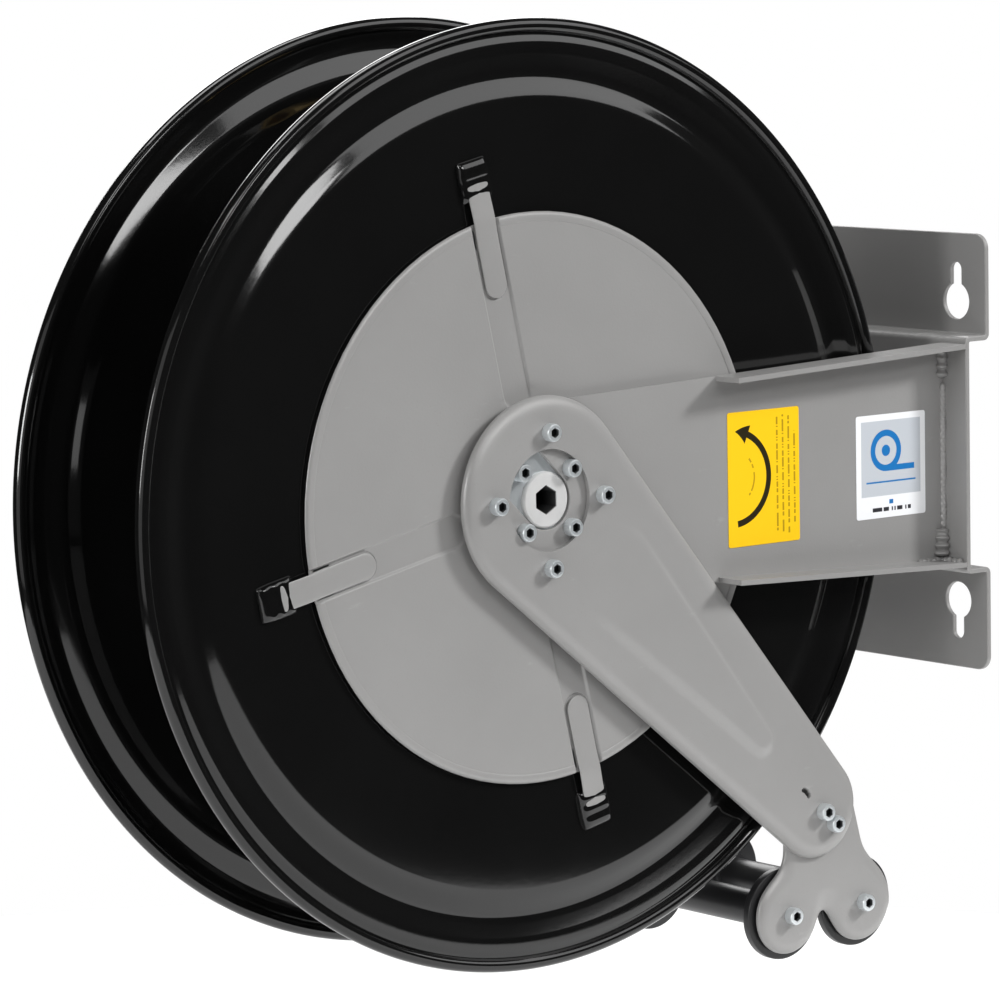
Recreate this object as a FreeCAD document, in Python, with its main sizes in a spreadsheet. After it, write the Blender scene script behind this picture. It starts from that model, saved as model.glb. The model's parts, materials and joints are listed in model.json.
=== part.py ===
import FreeCAD, Part
import math
import os
import re

import Sketcher

# A wall-mounted, spring-rewind hose reel.
#
# Frame: the origin is on the wall plane, at the centre of the wall bracket.
# +X points into the wall, +Z up and +Y to the rear of the reel, so the front
# faces -Y.  The drum turns about a shaft parallel to Y.  Distances along the
# shaft are counted outward from the plane of a drum rim, and the rear side of
# the frame is a mirror image of the front side.

Vector = FreeCAD.Vector
Rotation = FreeCAD.Rotation

DIMENSIONS = (
    ("drum_radius", 270, "outer radius of the drum flanges"),
    ("drum_width", 118.5, "between the rim planes of the two flanges"),
    ("wall_gap", 60, "drum rim to wall"),
    ("frame_sheet", 3, "sheet of the bracket, arms and plates"),
    ("drum_sheet", 1.5, "sheet of the flanges, core and spring case"),
    ("running_gap", 0.3, "least gap beside anything that turns"),
    ("screw_gap", 0.3, "radial clearance of a screw in its hole"),
    ("bearing_gap", 0.06, "radial clearance of a shaft in its bush"),
    ("shaft_radius", 16, "main shaft"),
    ("waterway_radius", 6.5, "bore of the waterway"),
    ("thread_bore", 9.3, "core radius of a G1/2 thread"),
    ("thread_depth", 16, "depth of a G1/2 thread"),
    ("disc_out", 2, "flat disc of a flange, outward of the rim plane"),
    ("groove_inset", 31, "bottom of the V groove in from the rim"),
    ("groove_deep", 5, "depth of the V groove in a flange"),
    ("groove_half", 12.5, "half the width of the V groove"),
    ("ridge_wide", 5, "flat ridge between V groove and rim"),
    ("rim_roll", 4, "radius of the rolled rim"),
    ("core_radius", 165, "cylinder that the hose winds on"),
    ("case_inset", 15.5, "spring case inside the drum core"),
    ("floor_gap", 28, "spring case floor ahead of the swivel body"),
    ("case_hub_wall", 8, "hub of the spring case, beyond the shaft"),
    ("cover_lap", 12.5, "cover beyond the spring case"),
    ("dish_step", 8, "recessed middle beyond the shaft collar"),
    ("cover_hole_gap", 4, "hole in the cover beyond the shaft"),
    ("dish_deep", 2.2, "depth of the recessed middle"),
    ("dish_slope", 6, "width of the slope round the recessed middle"),
    ("bead_radius", 1.1, "rolled bead round the cover"),
    ("flute_start", 12, "flutes beyond the recessed middle"),
    ("flute_wide", 19, "width of an embossed flute"),
    ("flute_deep", 0.8, "depth of an embossed flute"),
    ("clip_count", 4, "clips that hold the cover"),
    ("clip_angle", 12.3, "first clip, turned from straight down"),
    ("clip_reach", 44, "clip over the cover, from its edge"),
    ("clip_hook", 11, "clip inside its keeper"),
    ("clip_wide", 15, "width of a clip"),
    ("clip_sheet", 1.2, "thickness of a clip"),
    ("clip_gap", 0.12, "clearance of a clip in its keeper's slot"),
    ("keeper_gap", 12, "keeper beyond the cover"),
    ("keeper_long", 23, "radial length of a keeper"),
    ("keeper_wide", 21, "width of a keeper"),
    ("keeper_tall", 3.8, "height of a keeper"),
    ("ridge_gap", 5, "pitch of the ridges on a keeper"),
    ("valley_deep", 0.5, "depth of the valleys between the ridges"),
    ("web_out", 10, "outer face of a side arm, outward of the rim plane"),
    ("arm_edge_wide", 16.5, "side arm beyond the outer screws"),
    ("arm_root_half", 67.3, "half height of a side arm at the bracket"),
    ("arm_bend", 2.5, "rounding along the back of a side arm"),
    ("arm_lip_start", 130, "where a side arm's flanges start"),
    ("arm_lip_wide", 23, "width of a side arm's flanges with its web"),
    ("keyhole_edge", 25.25, "keyholes in from the bracket's sides"),
    ("tab_tall", 60.5, "height of a tab of the bracket"),
    ("crown_margin", 4.2, "crown beyond the side arms"),
    ("crown_out", 19.5, "crown face to wall"),
    ("bend_outer", 4, "outside radius of a bend"),
    ("bend_inner", 1, "inside radius of a bend"),
    ("tab_corner", 9, "corner radius of the tabs"),
    ("keyhole_in", 19.5, "keyhole entry beyond the crown"),
    ("keyhole_entry", 11, "radius of the keyhole entry"),
    ("keyhole_slot", 4.5, "half the width of the keyhole slot"),
    ("keyhole_rise", 19, "entry centre to slot end centre"),
    ("collar_edge", 4.25, "shaft collar beyond the inner screws"),
    ("collar_step", 8, "collar flange beyond the side arm's hole"),
    ("collar_sheet", 2, "flange of the shaft collar"),
    ("shaft_chamfer", 1, "chamfer at the shaft's front end"),
    ("shaft_end_out", 12.8, "front end of the shaft, from the rim plane"),
    ("shaft_tail_out", 24, "rear end of the shaft, from the rim plane"),
    ("socket_flats", 14, "hexagon socket in the shaft end"),
    ("socket_deep", 18, "depth of the hexagon socket"),
    ("lock_edge", 9.5, "lock plate beyond the outer screws"),
    ("lock_gap", 1, "lock plate's slot, round the shaft"),
    ("screw_pitch_out", 7.75, "inner screw circle beyond the shaft"),
    ("circle_step", 14.75, "outer screw circle beyond the inner one"),
    ("screw_radius", 3, "M6 screw"),
    ("screw_head", 5, "radius of an M6 socket head"),
    ("screw_head_tall", 6, "height of an M6 socket head"),
    ("screw_key", 5, "hexagon key of an M6 socket head"),
    ("screw_key_deep", 3, "depth of the key socket"),
    ("head_chamfer", 0.5, "edge of a screw head"),
    ("guide_angle", 45, "guide arm, below the horizontal"),
    ("guide_edge_wide", 20.5, "guide arm beyond the outer screws"),
    ("guide_small", 30.5, "tip radius of a guide arm"),
    ("guide_beyond", 15, "guide arm's tip centre beyond the drum rim"),
    ("guide_deep", 6, "depth of the guide arm's turned edge"),
    ("guide_edge", 4.5, "rounding of the turned edge"),
    ("window_gap", 0.25, "gap between the arm's window and the inner heads"),
    ("panel_in", 9, "raised panel beyond the arm's window"),
    ("panel_out", 54, "raised panel ahead of the tip centre"),
    ("panel_big", 30, "raised panel, half width at its start"),
    ("panel_small", 10, "raised panel, half width at its end"),
    ("panel_rise", 1.2, "height of the raised panel"),
    ("panel_slope", 4, "width of the slope round the raised panel"),
    ("tip_screw_out", 3.5, "first tip screw beyond the tip centre"),
    ("tip_screw_pitch", 11.3, "between the two tip screws"),
    ("tip_slot_back", 13, "adjusting slot ahead of the tip centre"),
    ("tip_slot_half", 2.5, "half the width of the adjusting slot"),
    ("spacer_radius", 5.4, "tip screw spacer"),
    ("nut_flats", 10, "M6 nut across flats"),
    ("nut_tall", 5, "height of an M6 nut"),
    ("roller_below", 63, "roller axles below the arm's tip centre"),
    ("roller_back", 18.5, "first roller axle behind the tip centre"),
    ("roller_pitch", 58, "between the roller axles"),
    ("lobe_radius", 23.5, "lobes of the roller plate"),
    ("plate_top_radius", 27, "top end of the roller plate"),
    ("plate_shift", 7, "top end of the roller plate, beyond the arm's tip"),
    ("plate_flare", 5, "the neck's far corner beyond the second axle"),
    ("plate_fillet", 7, "inner corners of the roller plate"),
    ("plate_deep", 4.5, "depth of the roller plate's turned edge"),
    ("plate_edge", 3.4, "rounding of the roller plate's edge"),
    ("roller_out", 3.5, "end of a roller, outward of the rim plane"),
    ("roller_tube", 10.5, "outside radius of a roller tube"),
    ("roller_wall", 2, "wall of a roller tube"),
    ("cap_radius", 27.5, "flange of a roller cap"),
    ("cap_sheet", 5.5, "thickness of the cap's flange"),
    ("cap_neck", 13.5, "radius of the cap's neck"),
    ("cap_neck_long", 9, "length of the cap's neck"),
    ("cap_spigot_long", 8, "length of the spigot inside the tube"),
    ("cap_seam", 0.6, "seam groove round the neck"),
    ("axle_radius", 6, "roller axle"),
    ("axle_shoulder", 9, "shoulder at each end of a roller axle"),
    ("axle_gap", 0.1, "radial clearance of an axle in its caps"),
    ("arbor_wall", 7, "wall of the spring arbor"),
    ("spring_floor_gap", 11.5, "power spring ahead of the case floor"),
    ("arbor_inset", 5, "spring arbor behind the cover"),
    ("hook_slot", 3, "slot that takes the spring's inner end"),
    ("spring_strip", 1, "thickness of the power spring's strip"),
    ("spring_step", 1, "power spring inside the ends of its arbor"),
    ("spring_start", 6, "inner turn beyond the arbor"),
    ("spring_room", 9, "outer turn inside the spring case"),
    ("spring_turns", 22, "turns of the power spring"),
    ("bush_wall", 3, "wall of the bushes"),
    ("bush_flange_wall", 6, "flange of the front bush beyond the shaft"),
    ("front_bush_long", 18, "length of the front bush"),
    ("rear_bush_long", 15, "length of the rear bush"),
    ("bush_flange_sheet", 2, "thickness of the front bush's flange"),
    ("swivel_wall", 11, "wall of the swivel body"),
    ("swivel_long", 40, "length of the swivel body"),
    ("rivet_edge", 7, "flanges beyond their rivet circle"),
    ("swivel_flange_tall", 4, "thickness of the swivel flange"),
    ("port_in", 26.75, "swivel ports in from the swivel's flanged end"),
    ("port_radius", 3, "ports in the shaft"),
    ("port_count", 4, "ports in the shaft"),
    ("chamber_deep", 4, "depth of the chamber round the shaft"),
    ("chamber_half", 4, "half the length of the chamber"),
    ("seal_wide", 3, "width of a swivel seal"),
    ("seal_deep", 2.5, "radial depth of a swivel seal"),
    ("seal_offset", 8.5, "swivel seals, either side of the ports"),
    ("pipe_radius", 9, "feed pipe"),
    ("pipe_seat", 2, "feed pipe's end beyond the swivel chamber"),
    ("outlet_radius", 13, "body of the hose outlet"),
    ("outlet_out", 15, "hose outlet axis beyond the drum core"),
    ("outlet_long", 34, "hose outlet, from the feed pipe axis"),
    ("outlet_tail", 15, "hose outlet inside the drum core"),
    ("ratchet_step", 4, "ratchet wheel clear of the shaft collar"),
    ("ratchet_edge", 13, "tooth tips beyond the rivet circle"),
    ("tooth_tall", 7, "height of a ratchet tooth"),
    ("tooth_land", 1.5, "flat top of a ratchet tooth, in degrees"),
    ("ratchet_teeth", 12, "teeth of the ratchet wheel"),
    ("ratchet_phase", 56.6, "angle of the first tooth's steep face"),
    ("ratchet_tall", 3.5, "thickness of the ratchet wheel"),
    ("rivet_in", 7, "rivet circle beyond the ratchet's bore"),
    ("rivet_radius", 3, "rivets of the ratchet wheel"),
    ("rivet_head", 5, "heads of the rivets"),
    ("rivet_head_tall", 2, "height of the rivet heads"),
    ("rivet_count", 4, "rivets of the ratchet wheel"),
    ("pawl_long", 51, "pivot to nose of the pawl"),
    ("pawl_nose_up", 1, "nose above the tooth roots when engaged"),
    ("pawl_engaged", 151.2, "direction of the engaged pawl"),
    ("pawl_nose_at", 54.8, "angle of the nose about the hub when engaged"),
    ("pawl_lift", 12, "turn that lifts the pawl clear"),
    ("pawl_sheet", 2.6, "thickness of the pawl"),
    ("pawl_out", 2.7, "inner face of the pawl, from the rim plane"),
    ("pawl_boss", 9, "rounded end of the pawl"),
    ("pawl_belly", 12.5, "lower edge of the pawl below its pivot"),
    ("pawl_waist", 22, "narrow part of the pawl, from its pivot"),
    ("pawl_crest", 1.5, "upper edge of the pawl at its waist, below its pivot"),
    ("pawl_nose_tall", 6.5, "height of the pawl's nose"),
    ("pawl_nose_long", 5, "flat top of the pawl's nose"),
    ("pawl_notch", 8, "notch behind the pawl's nose, from the nose"),
    ("pin_radius", 4, "pawl pin"),
    ("pin_gap", 0.1, "radial clearance of the pawl on its pin"),
    ("pin_shoulder", 6, "shoulder of the pawl pin"),
    ("pin_head", 7, "head of the pawl pin"),
    ("pin_head_tall", 2.5, "height of the pin's head"),
    ("wire_radius", 0.5, "wire of the pawl spring"),
    ("wire_coil", 7, "coil radius of the pawl spring"),
    ("wire_leg", 22, "legs of the pawl spring"),
    ("inlet_spigot_long", 12, "inlet fitting inside the shaft"),
    ("inlet_spigot", 9.5, "radius of the inlet's spigot"),
    ("inlet_flats", 32, "hexagon of the inlet fitting"),
    ("inlet_hex_tall", 11, "length of the inlet's hexagon"),
    ("inlet_neck", 14, "radius of the inlet's neck"),
    ("inlet_neck_long", 14, "length of the inlet's neck"),
    ("label_sheet", 0.3, "thickness of the labels"),
    ("direction_x", 138, "direction label, near edge beyond the hub"),
    ("direction_wide", 55.5, "direction label, width"),
    ("direction_tall", 79, "direction label, height"),
    ("rating_back", 71.5, "rating label, near edge ahead of the bracket"),
    ("rating_wide", 56, "rating label, width"),
    ("rating_tall", 62, "rating label, height"),
    ("direction_drop", 1.5, "direction label's centre below the hub"),
    ("rating_drop", 3.2, "rating label's centre below the hub"),
    ("label_corner", 1.5, "corner radius of the labels"),
)

SHEET = "Sizes"
STRAIGHT = 1e-6
CLOSE = 1e-4
THROUGH = 1


class Size(float):
    """A size in mm that also remembers the expression that gives it."""

    def __new__(cls, value, text):
        size = super().__new__(cls, value)
        size.text = text
        return size

    def __add__(self, other):
        return Size(float(self) + float(other), f"({self.text} + {text_of(other)})")

    def __radd__(self, other):
        return Size(float(other) + float(self), f"({text_of(other)} + {self.text})")

    def __sub__(self, other):
        return Size(float(self) - float(other), f"({self.text} - {text_of(other)})")

    def __rsub__(self, other):
        return Size(float(other) - float(self), f"({text_of(other)} - {self.text})")

    def __mul__(self, other):
        return Size(float(self) * float(other), f"({self.text} * {text_of(other)})")

    __rmul__ = __mul__

    def __truediv__(self, other):
        return Size(float(self) / float(other), f"({self.text} / {text_of(other)})")

    def __neg__(self):
        return Size(-float(self), f"(-{self.text})")


def text_of(size):
    """The expression of a size, or a plain number as text."""
    return size.text if isinstance(size, Size) else f"{float(size):.6f}"


def cosine(angle):
    """Cosine of an angle in degrees."""
    return Size(math.cos(math.radians(angle)), f"cos({text_of(angle)})")


def sine(angle):
    """Sine of an angle in degrees."""
    return Size(math.sin(math.radians(angle)), f"sin({text_of(angle)})")


class Dimensions:
    """The driving dimensions, kept in a spreadsheet and read by name."""

    def __init__(self, document):
        self.sheet = document.addObject("Spreadsheet::Sheet", SHEET)
        for row, (name, value, note) in enumerate(DIMENSIONS, start=1):
            self.sheet.set(f"A{row}", name)
            self.sheet.set(f"B{row}", str(value))
            self.sheet.set(f"C{row}", note)
            self.sheet.setAlias(f"B{row}", name)
            setattr(self, name, Size(value, f"{SHEET}.{name}"))
        document.recompute()


def derive(D):
    """Sizes that follow from the driving ones, kept beside them."""
    D.half = D.drum_width / 2
    D.wall_reach = D.drum_radius + D.wall_gap
    D.groove_radius = D.drum_radius - D.groove_inset

    D.screw_pitch = D.shaft_radius + D.screw_pitch_out
    D.outer_pitch = D.screw_pitch + D.circle_step
    D.collar_radius = D.screw_pitch + D.collar_edge
    D.collar_flange = D.collar_radius + D.collar_step
    D.lock_radius = D.outer_pitch + D.lock_edge
    D.lock_slot_half = D.shaft_radius + D.lock_gap
    D.arm_end_radius = D.outer_pitch + D.arm_edge_wide

    D.crown_half = D.arm_root_half + D.crown_margin
    D.bracket_half_wide = D.half + D.web_out - D.frame_sheet + D.arm_lip_wide
    D.bracket_half_tall = D.crown_half + D.tab_tall
    D.keyhole_y = D.bracket_half_wide - D.keyhole_edge
    D.keyhole_z = D.crown_half + D.keyhole_in

    D.guide_window = D.screw_pitch + D.screw_head + D.window_gap
    D.guide_big = D.outer_pitch + D.guide_edge_wide
    D.guide_long = D.drum_radius + D.guide_beyond
    D.panel_start = D.guide_window + D.panel_in
    D.panel_end = D.guide_long - D.panel_out
    D.tip_screw_in = D.guide_long + D.tip_screw_out
    D.tip_slot_in = D.guide_long - D.tip_slot_back
    D.roller_a_x = D.guide_long * cosine(D.guide_angle) - D.roller_back
    D.roller_drop = D.guide_long * sine(D.guide_angle) + D.roller_below

    D.case_radius = D.core_radius - D.case_inset
    D.case_hub = D.shaft_radius + D.case_hub_wall
    D.cover_radius = D.case_radius + D.cover_lap
    D.cover_hole = D.shaft_radius + D.cover_hole_gap
    D.cover_dish = D.collar_flange + D.dish_step
    D.flute_inner = D.cover_dish + D.dish_slope + D.flute_start
    D.clip_inner = D.cover_radius - D.clip_reach
    D.keeper_inner = D.cover_radius + D.keeper_gap
    D.clip_outer = D.keeper_inner + D.clip_hook

    D.swivel_end = D.half + D.disc_out - D.drum_sheet
    D.swivel_start = D.swivel_end - D.swivel_long
    D.case_floor = D.swivel_start - D.floor_gap
    D.port_y = D.swivel_end - D.port_in
    D.swivel_radius = D.shaft_radius + D.swivel_wall
    D.pipe_start = D.shaft_radius + D.chamber_deep + D.pipe_seat
    D.chamber_radius = D.shaft_radius + D.chamber_deep
    D.bush_flange = D.shaft_radius + D.bush_flange_wall

    D.arbor_radius = D.shaft_radius + D.arbor_wall
    D.arbor_start = D.arbor_inset - D.swivel_end
    D.spring_begin = D.arbor_start + D.spring_step
    D.spring_wide = D.case_floor - D.spring_floor_gap - D.spring_begin
    D.arbor_long = D.spring_wide + 2 * D.spring_step
    D.spring_inner = D.arbor_radius + D.spring_start
    D.spring_wall = D.case_radius - D.drum_sheet
    D.spring_outer = D.spring_wall - D.spring_room
    D.spring_pitch = (D.spring_outer - D.spring_inner) / D.spring_turns

    D.ratchet_inner = D.collar_flange + D.ratchet_step
    D.rivet_pitch = D.ratchet_inner + D.rivet_in
    D.swivel_flange = D.rivet_pitch + D.rivet_edge
    D.ratchet_tip = D.rivet_pitch + D.ratchet_edge
    D.ratchet_root = D.ratchet_tip - D.tooth_tall
    nose = D.ratchet_root + D.pawl_nose_up
    D.pawl_x = nose * cosine(D.pawl_nose_at) - D.pawl_long * cosine(D.pawl_engaged)
    D.pawl_z = nose * sine(D.pawl_nose_at) - D.pawl_long * sine(D.pawl_engaged)
    D.pawl_rest = D.pawl_engaged - D.pawl_lift
    D.rating_x = D.wall_reach - D.crown_out - D.rating_back


doc = FreeCAD.newDocument("hose_reel")
D = Dimensions(doc)
derive(D)
NODES = {}

# Shared places, all worked out from the sheet.
half = D.half
hub_x = -D.wall_reach
web_in = D.web_out - D.frame_sheet
lock_out = D.web_out + D.frame_sheet
guide_out = lock_out + D.frame_sheet
crown_x = -D.crown_out
disc_in = D.disc_out - D.drum_sheet
lip_out = D.disc_out + D.drum_sheet
cover_out = lip_out + D.drum_sheet
hub_origin = (hub_x, 0, 0)


# ---------------------------------------------------------------- helpers


def bind(thing, name, size):
    """Set a property from the sheet, or to a plain number."""
    if isinstance(size, Size):
        thing.setExpression(name, size.text)
    else:
        setattr(thing, name, float(size))


def move(thing, place):
    """Bind a thing's position to three sizes."""
    for axis, size in zip("xyz", place):
        thing.setExpression(f"Placement.Base.{axis}", text_of(size))


def node(label, thing):
    """Name a finished piece and keep it for writing out."""
    thing.Label = label
    NODES[label] = thing
    return thing


TURNS = {
    "x": Rotation(Vector(0, 1, 0), 90),
    "y": Rotation(Vector(1, 0, 0), -90),
    "z": Rotation(),
}


def cylinder(radius, length, place, along="y", turn=None):
    """A cylinder from the centre of its first face."""
    thing = doc.addObject("Part::Cylinder", "cylinder")
    bind(thing, "Radius", radius)
    bind(thing, "Height", length)
    thing.Placement.Rotation = turn or TURNS[along]
    move(thing, place)
    return thing


def hexagon(flats, length, place, along="y"):
    """A hexagonal bar, measured across its flats."""
    thing = doc.addObject("Part::Prism", "hexagon")
    thing.Polygon = 6
    bind(thing, "Circumradius", flats / math.sqrt(3))
    bind(thing, "Height", length)
    thing.Placement.Rotation = TURNS[along]
    move(thing, place)
    return thing


def box(sizes, place):
    """A box from its lowest corner."""
    thing = doc.addObject("Part::Box", "box")
    for name, size in zip(("Length", "Width", "Height"), sizes):
        bind(thing, name, size)
    move(thing, place)
    return thing


def fuse(*things):
    """Join things into one solid."""
    thing = doc.addObject("Part::MultiFuse", "fused")
    thing.Shapes = list(things)
    thing.Refine = True
    return thing


def cut(base, *tools):
    """Take tools away from a base."""
    thing = doc.addObject("Part::Cut", "cut")
    thing.Base = base
    thing.Tool = tools[0] if len(tools) == 1 else group(*tools)
    thing.Refine = True
    return thing


def group(*things):
    """Keep things together as separate solids."""
    thing = doc.addObject("Part::Compound", "group")
    thing.Links = list(things)
    return thing


def mirrored(thing):
    """The same thing on the other side of the mid plane."""
    copy = doc.addObject("Part::Mirroring", "mirrored")
    copy.Source = thing
    copy.Base = (0, 0, 0)
    copy.Normal = (0, 1, 0)
    return copy


def linked(thing, place, turn=None):
    """Another copy of a thing, moved and turned."""
    link = doc.addObject("App::Link", "copy")
    link.LinkedObject = thing
    link.Placement = FreeCAD.Placement(Vector(), turn or Rotation())
    move(link, place)
    return link


def rounded(thing, radius, wanted):
    """Round the edges of a thing that wanted() picks."""
    doc.recompute()
    numbers = [i + 1 for i, edge in enumerate(thing.Shape.Edges) if wanted(edge)]
    fillet = doc.addObject("Part::Fillet", "rounded")
    fillet.Base = thing
    fillet.Edges = [(number, float(radius), float(radius)) for number in numbers]
    return fillet


def body_at(place, turn=None):
    """A PartDesign body whose own origin is at a place."""
    body = doc.addObject("PartDesign::Body", "body")
    body.Placement = FreeCAD.Placement(Vector(), turn or Rotation())
    move(body, place)
    return body


def sketch_on(body, role, offset=0):
    """A sketch on one of a body's own planes, moved along its normal."""
    sketch = body.newObject("Sketcher::SketchObject", "sketch")
    plane = [part for part in body.Origin.OriginFeatures if part.Role == role][0]
    sketch.AttachmentSupport = (plane, [""])
    sketch.MapMode = "FlatFace"
    sketch.setExpression("AttachmentOffset.Base.z", text_of(offset))
    return sketch


def fixed_point(sketch, shape, point, x, y):
    """Hold one point of a sketch at two sizes."""
    for kind, axis, size in (("DistanceX", -2, x), ("DistanceY", -1, y)):
        if isinstance(size, Size):
            made = Sketcher.Constraint(kind, -1, 1, shape, point, float(size))
            number = sketch.addConstraint(made)
            sketch.setExpression(f"Constraints[{number}]", size.text)
        elif abs(size) < STRAIGHT:
            made = Sketcher.Constraint("PointOnObject", shape, point, axis)
            sketch.addConstraint(made)
        else:
            made = Sketcher.Constraint(kind, -1, 1, shape, point, float(size))
            sketch.addConstraint(made)


def held_radius(sketch, shape, radius):
    """Hold the radius of an arc or a circle."""
    number = sketch.addConstraint(Sketcher.Constraint("Radius", shape, float(radius)))
    if isinstance(radius, Size):
        sketch.setExpression(f"Constraints[{number}]", radius.text)


def add_outline(sketch, points):
    """A closed run of straight lines through points given as sizes."""
    first = sketch.GeometryCount
    count = len(points)
    corners = [Vector(float(x), float(y), 0) for x, y in points]
    for i in range(count):
        sketch.addGeometry(Part.LineSegment(corners[i], corners[(i + 1) % count]))
    for i in range(count):
        following = first + (i + 1) % count
        joint = Sketcher.Constraint("Coincident", first + i, 2, following, 1)
        sketch.addConstraint(joint)
    for i, (x, y) in enumerate(points):
        fixed_point(sketch, first + i, 1, x, y)


def add_circle(sketch, x, y, radius):
    """A circle at a place."""
    centre = Vector(float(x), float(y), 0)
    circle = Part.Circle(centre, Vector(0, 0, 1), float(radius))
    number = sketch.addGeometry(circle)
    held_radius(sketch, number, radius)
    fixed_point(sketch, number, 3, x, y)
    return number


def add_arc(sketch, x, y, radius, start, end):
    """An arc about a centre, with its angles as a first guess in radians."""
    centre = Vector(float(x), float(y), 0)
    circle = Part.Circle(centre, Vector(0, 0, 1), float(radius))
    return sketch.addGeometry(Part.ArcOfCircle(circle, start, end))


def add_line(sketch, start, end):
    """A line between two points as a first guess."""
    return sketch.addGeometry(Part.LineSegment(Vector(*start, 0), Vector(*end, 0)))


def add_teardrop(sketch, first_x, big, second_x, small):
    """Two round ends on the X axis, joined by the lines that touch both."""
    lean = math.asin((float(big) - float(small)) / (float(second_x) - float(first_x)))
    touch = math.pi / 2 - lean
    up_big = (
        float(first_x) + float(big) * math.cos(touch),
        float(big) * math.sin(touch),
    )
    up_small = (
        float(second_x) + float(small) * math.cos(touch),
        float(small) * math.sin(touch),
    )
    back = add_arc(sketch, first_x, 0, big, touch, 2 * math.pi - touch)
    lower = add_line(sketch, (up_big[0], -up_big[1]), (up_small[0], -up_small[1]))
    front = add_arc(sketch, second_x, 0, small, -touch, touch)
    upper = add_line(sketch, up_small, up_big)
    for one, end, other, start in (
        (back, 2, lower, 1),
        (lower, 2, front, 1),
        (front, 2, upper, 1),
        (upper, 2, back, 1),
    ):
        sketch.addConstraint(Sketcher.Constraint("Tangent", one, end, other, start))
    held_radius(sketch, back, big)
    held_radius(sketch, front, small)
    fixed_point(sketch, back, 3, first_x, 0)
    fixed_point(sketch, front, 3, second_x, 0)


def pad(body, sketch, length, symmetric=False):
    """Raise a sketch along its normal."""
    feature = body.newObject("PartDesign::Pad", "pad")
    feature.Profile = sketch
    bind(feature, "Length", length)
    feature.Midplane = symmetric
    return feature


def loft(body, kind, first, last):
    """Join two sketches with straight sides, added or taken away."""
    feature = body.newObject(f"PartDesign::{kind}Loft", "loft")
    feature.Profile = first
    feature.Sections = [last]
    feature.Ruled = True
    return feature


def pocket(body, sketch, depth):
    """Cut a sketch against its normal."""
    feature = body.newObject("PartDesign::Pocket", "pocket")
    feature.Profile = sketch
    bind(feature, "Length", depth)
    return feature


def revolve(body, sketch):
    """Turn a sketch about its own vertical axis."""
    feature = body.newObject("PartDesign::Revolution", "revolution")
    feature.Profile = sketch
    feature.ReferenceAxis = (sketch, ["V_Axis"])
    feature.Angle = 360
    return feature


def fillet_body(body, radius, wanted):
    """Round the edges of a body's last feature that wanted() picks."""
    doc.recompute()
    base = body.Tip
    names = [f"Edge{i + 1}" for i, edge in enumerate(base.Shape.Edges) if wanted(edge)]
    feature = body.newObject("PartDesign::Fillet", "fillet")
    feature.Base = (base, names)
    bind(feature, "Radius", radius)
    return feature


def polar(body, feature, sketch, count):
    """Repeat a feature round its sketch's normal."""
    pattern = body.newObject("PartDesign::PolarPattern", "pattern")
    pattern.Originals = [feature]
    pattern.Axis = (sketch, ["N_Axis"])
    pattern.Angle = 360
    pattern.Occurrences = int(count)
    body.Tip = pattern
    return pattern


def turned(points, place=hub_origin):
    """A piece turned about an axis along Y, from radius and Y pairs."""
    body = body_at(place)
    sketch = sketch_on(body, "XY_Plane")
    add_outline(sketch, points)
    revolve(body, sketch)
    return body


def ring(inner, outer, start, end):
    """The outline of a plain ring: two radii and two places along Y."""
    return [(inner, start), (outer, start), (outer, end), (inner, end)]


def at_y(edge, y):
    """Whether an edge lies in a plane across Y."""
    low, high = edge.BoundBox.YMin, edge.BoundBox.YMax
    return abs(low - float(y)) < CLOSE and abs(high - float(y)) < CLOSE


def around(pitch, count, start=0):
    """Places on a circle about the hub, as X and Z."""
    places = []
    for i in range(int(count)):
        angle = start + 360 * i / int(count)
        places.append((hub_x + pitch * cosine(angle), pitch * sine(angle)))
    return places


def front(outward):
    """The Y of a plane that lies outward of the front rim plane."""
    return -(half + outward)


# ------------------------------------------------------------- fasteners


def socket_screw(length):
    """An M6 socket screw: seat at the origin, head towards -Y."""
    body = body_at((0, 0, 0))
    sketch = sketch_on(body, "XY_Plane")
    head = -D.screw_head_tall
    outline = [
        (0, head),
        (D.screw_head - D.head_chamfer, head),
        (D.screw_head, head + D.head_chamfer),
        (D.screw_head, 0),
        (D.screw_radius, 0),
        (D.screw_radius, length - D.head_chamfer),
        (D.screw_radius - D.head_chamfer, length),
        (0, length),
    ]
    add_outline(sketch, outline)
    revolve(body, sketch)
    key = hexagon(D.screw_key, D.screw_key_deep, (0, head, 0))
    return cut(body, key)


def screws(length, places):
    """A group of equal screws, each at its seat."""
    pattern = socket_screw(length)
    return group(*[linked(pattern, place) for place in places])


# ---------------------------------------------------------- fixed frame


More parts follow.
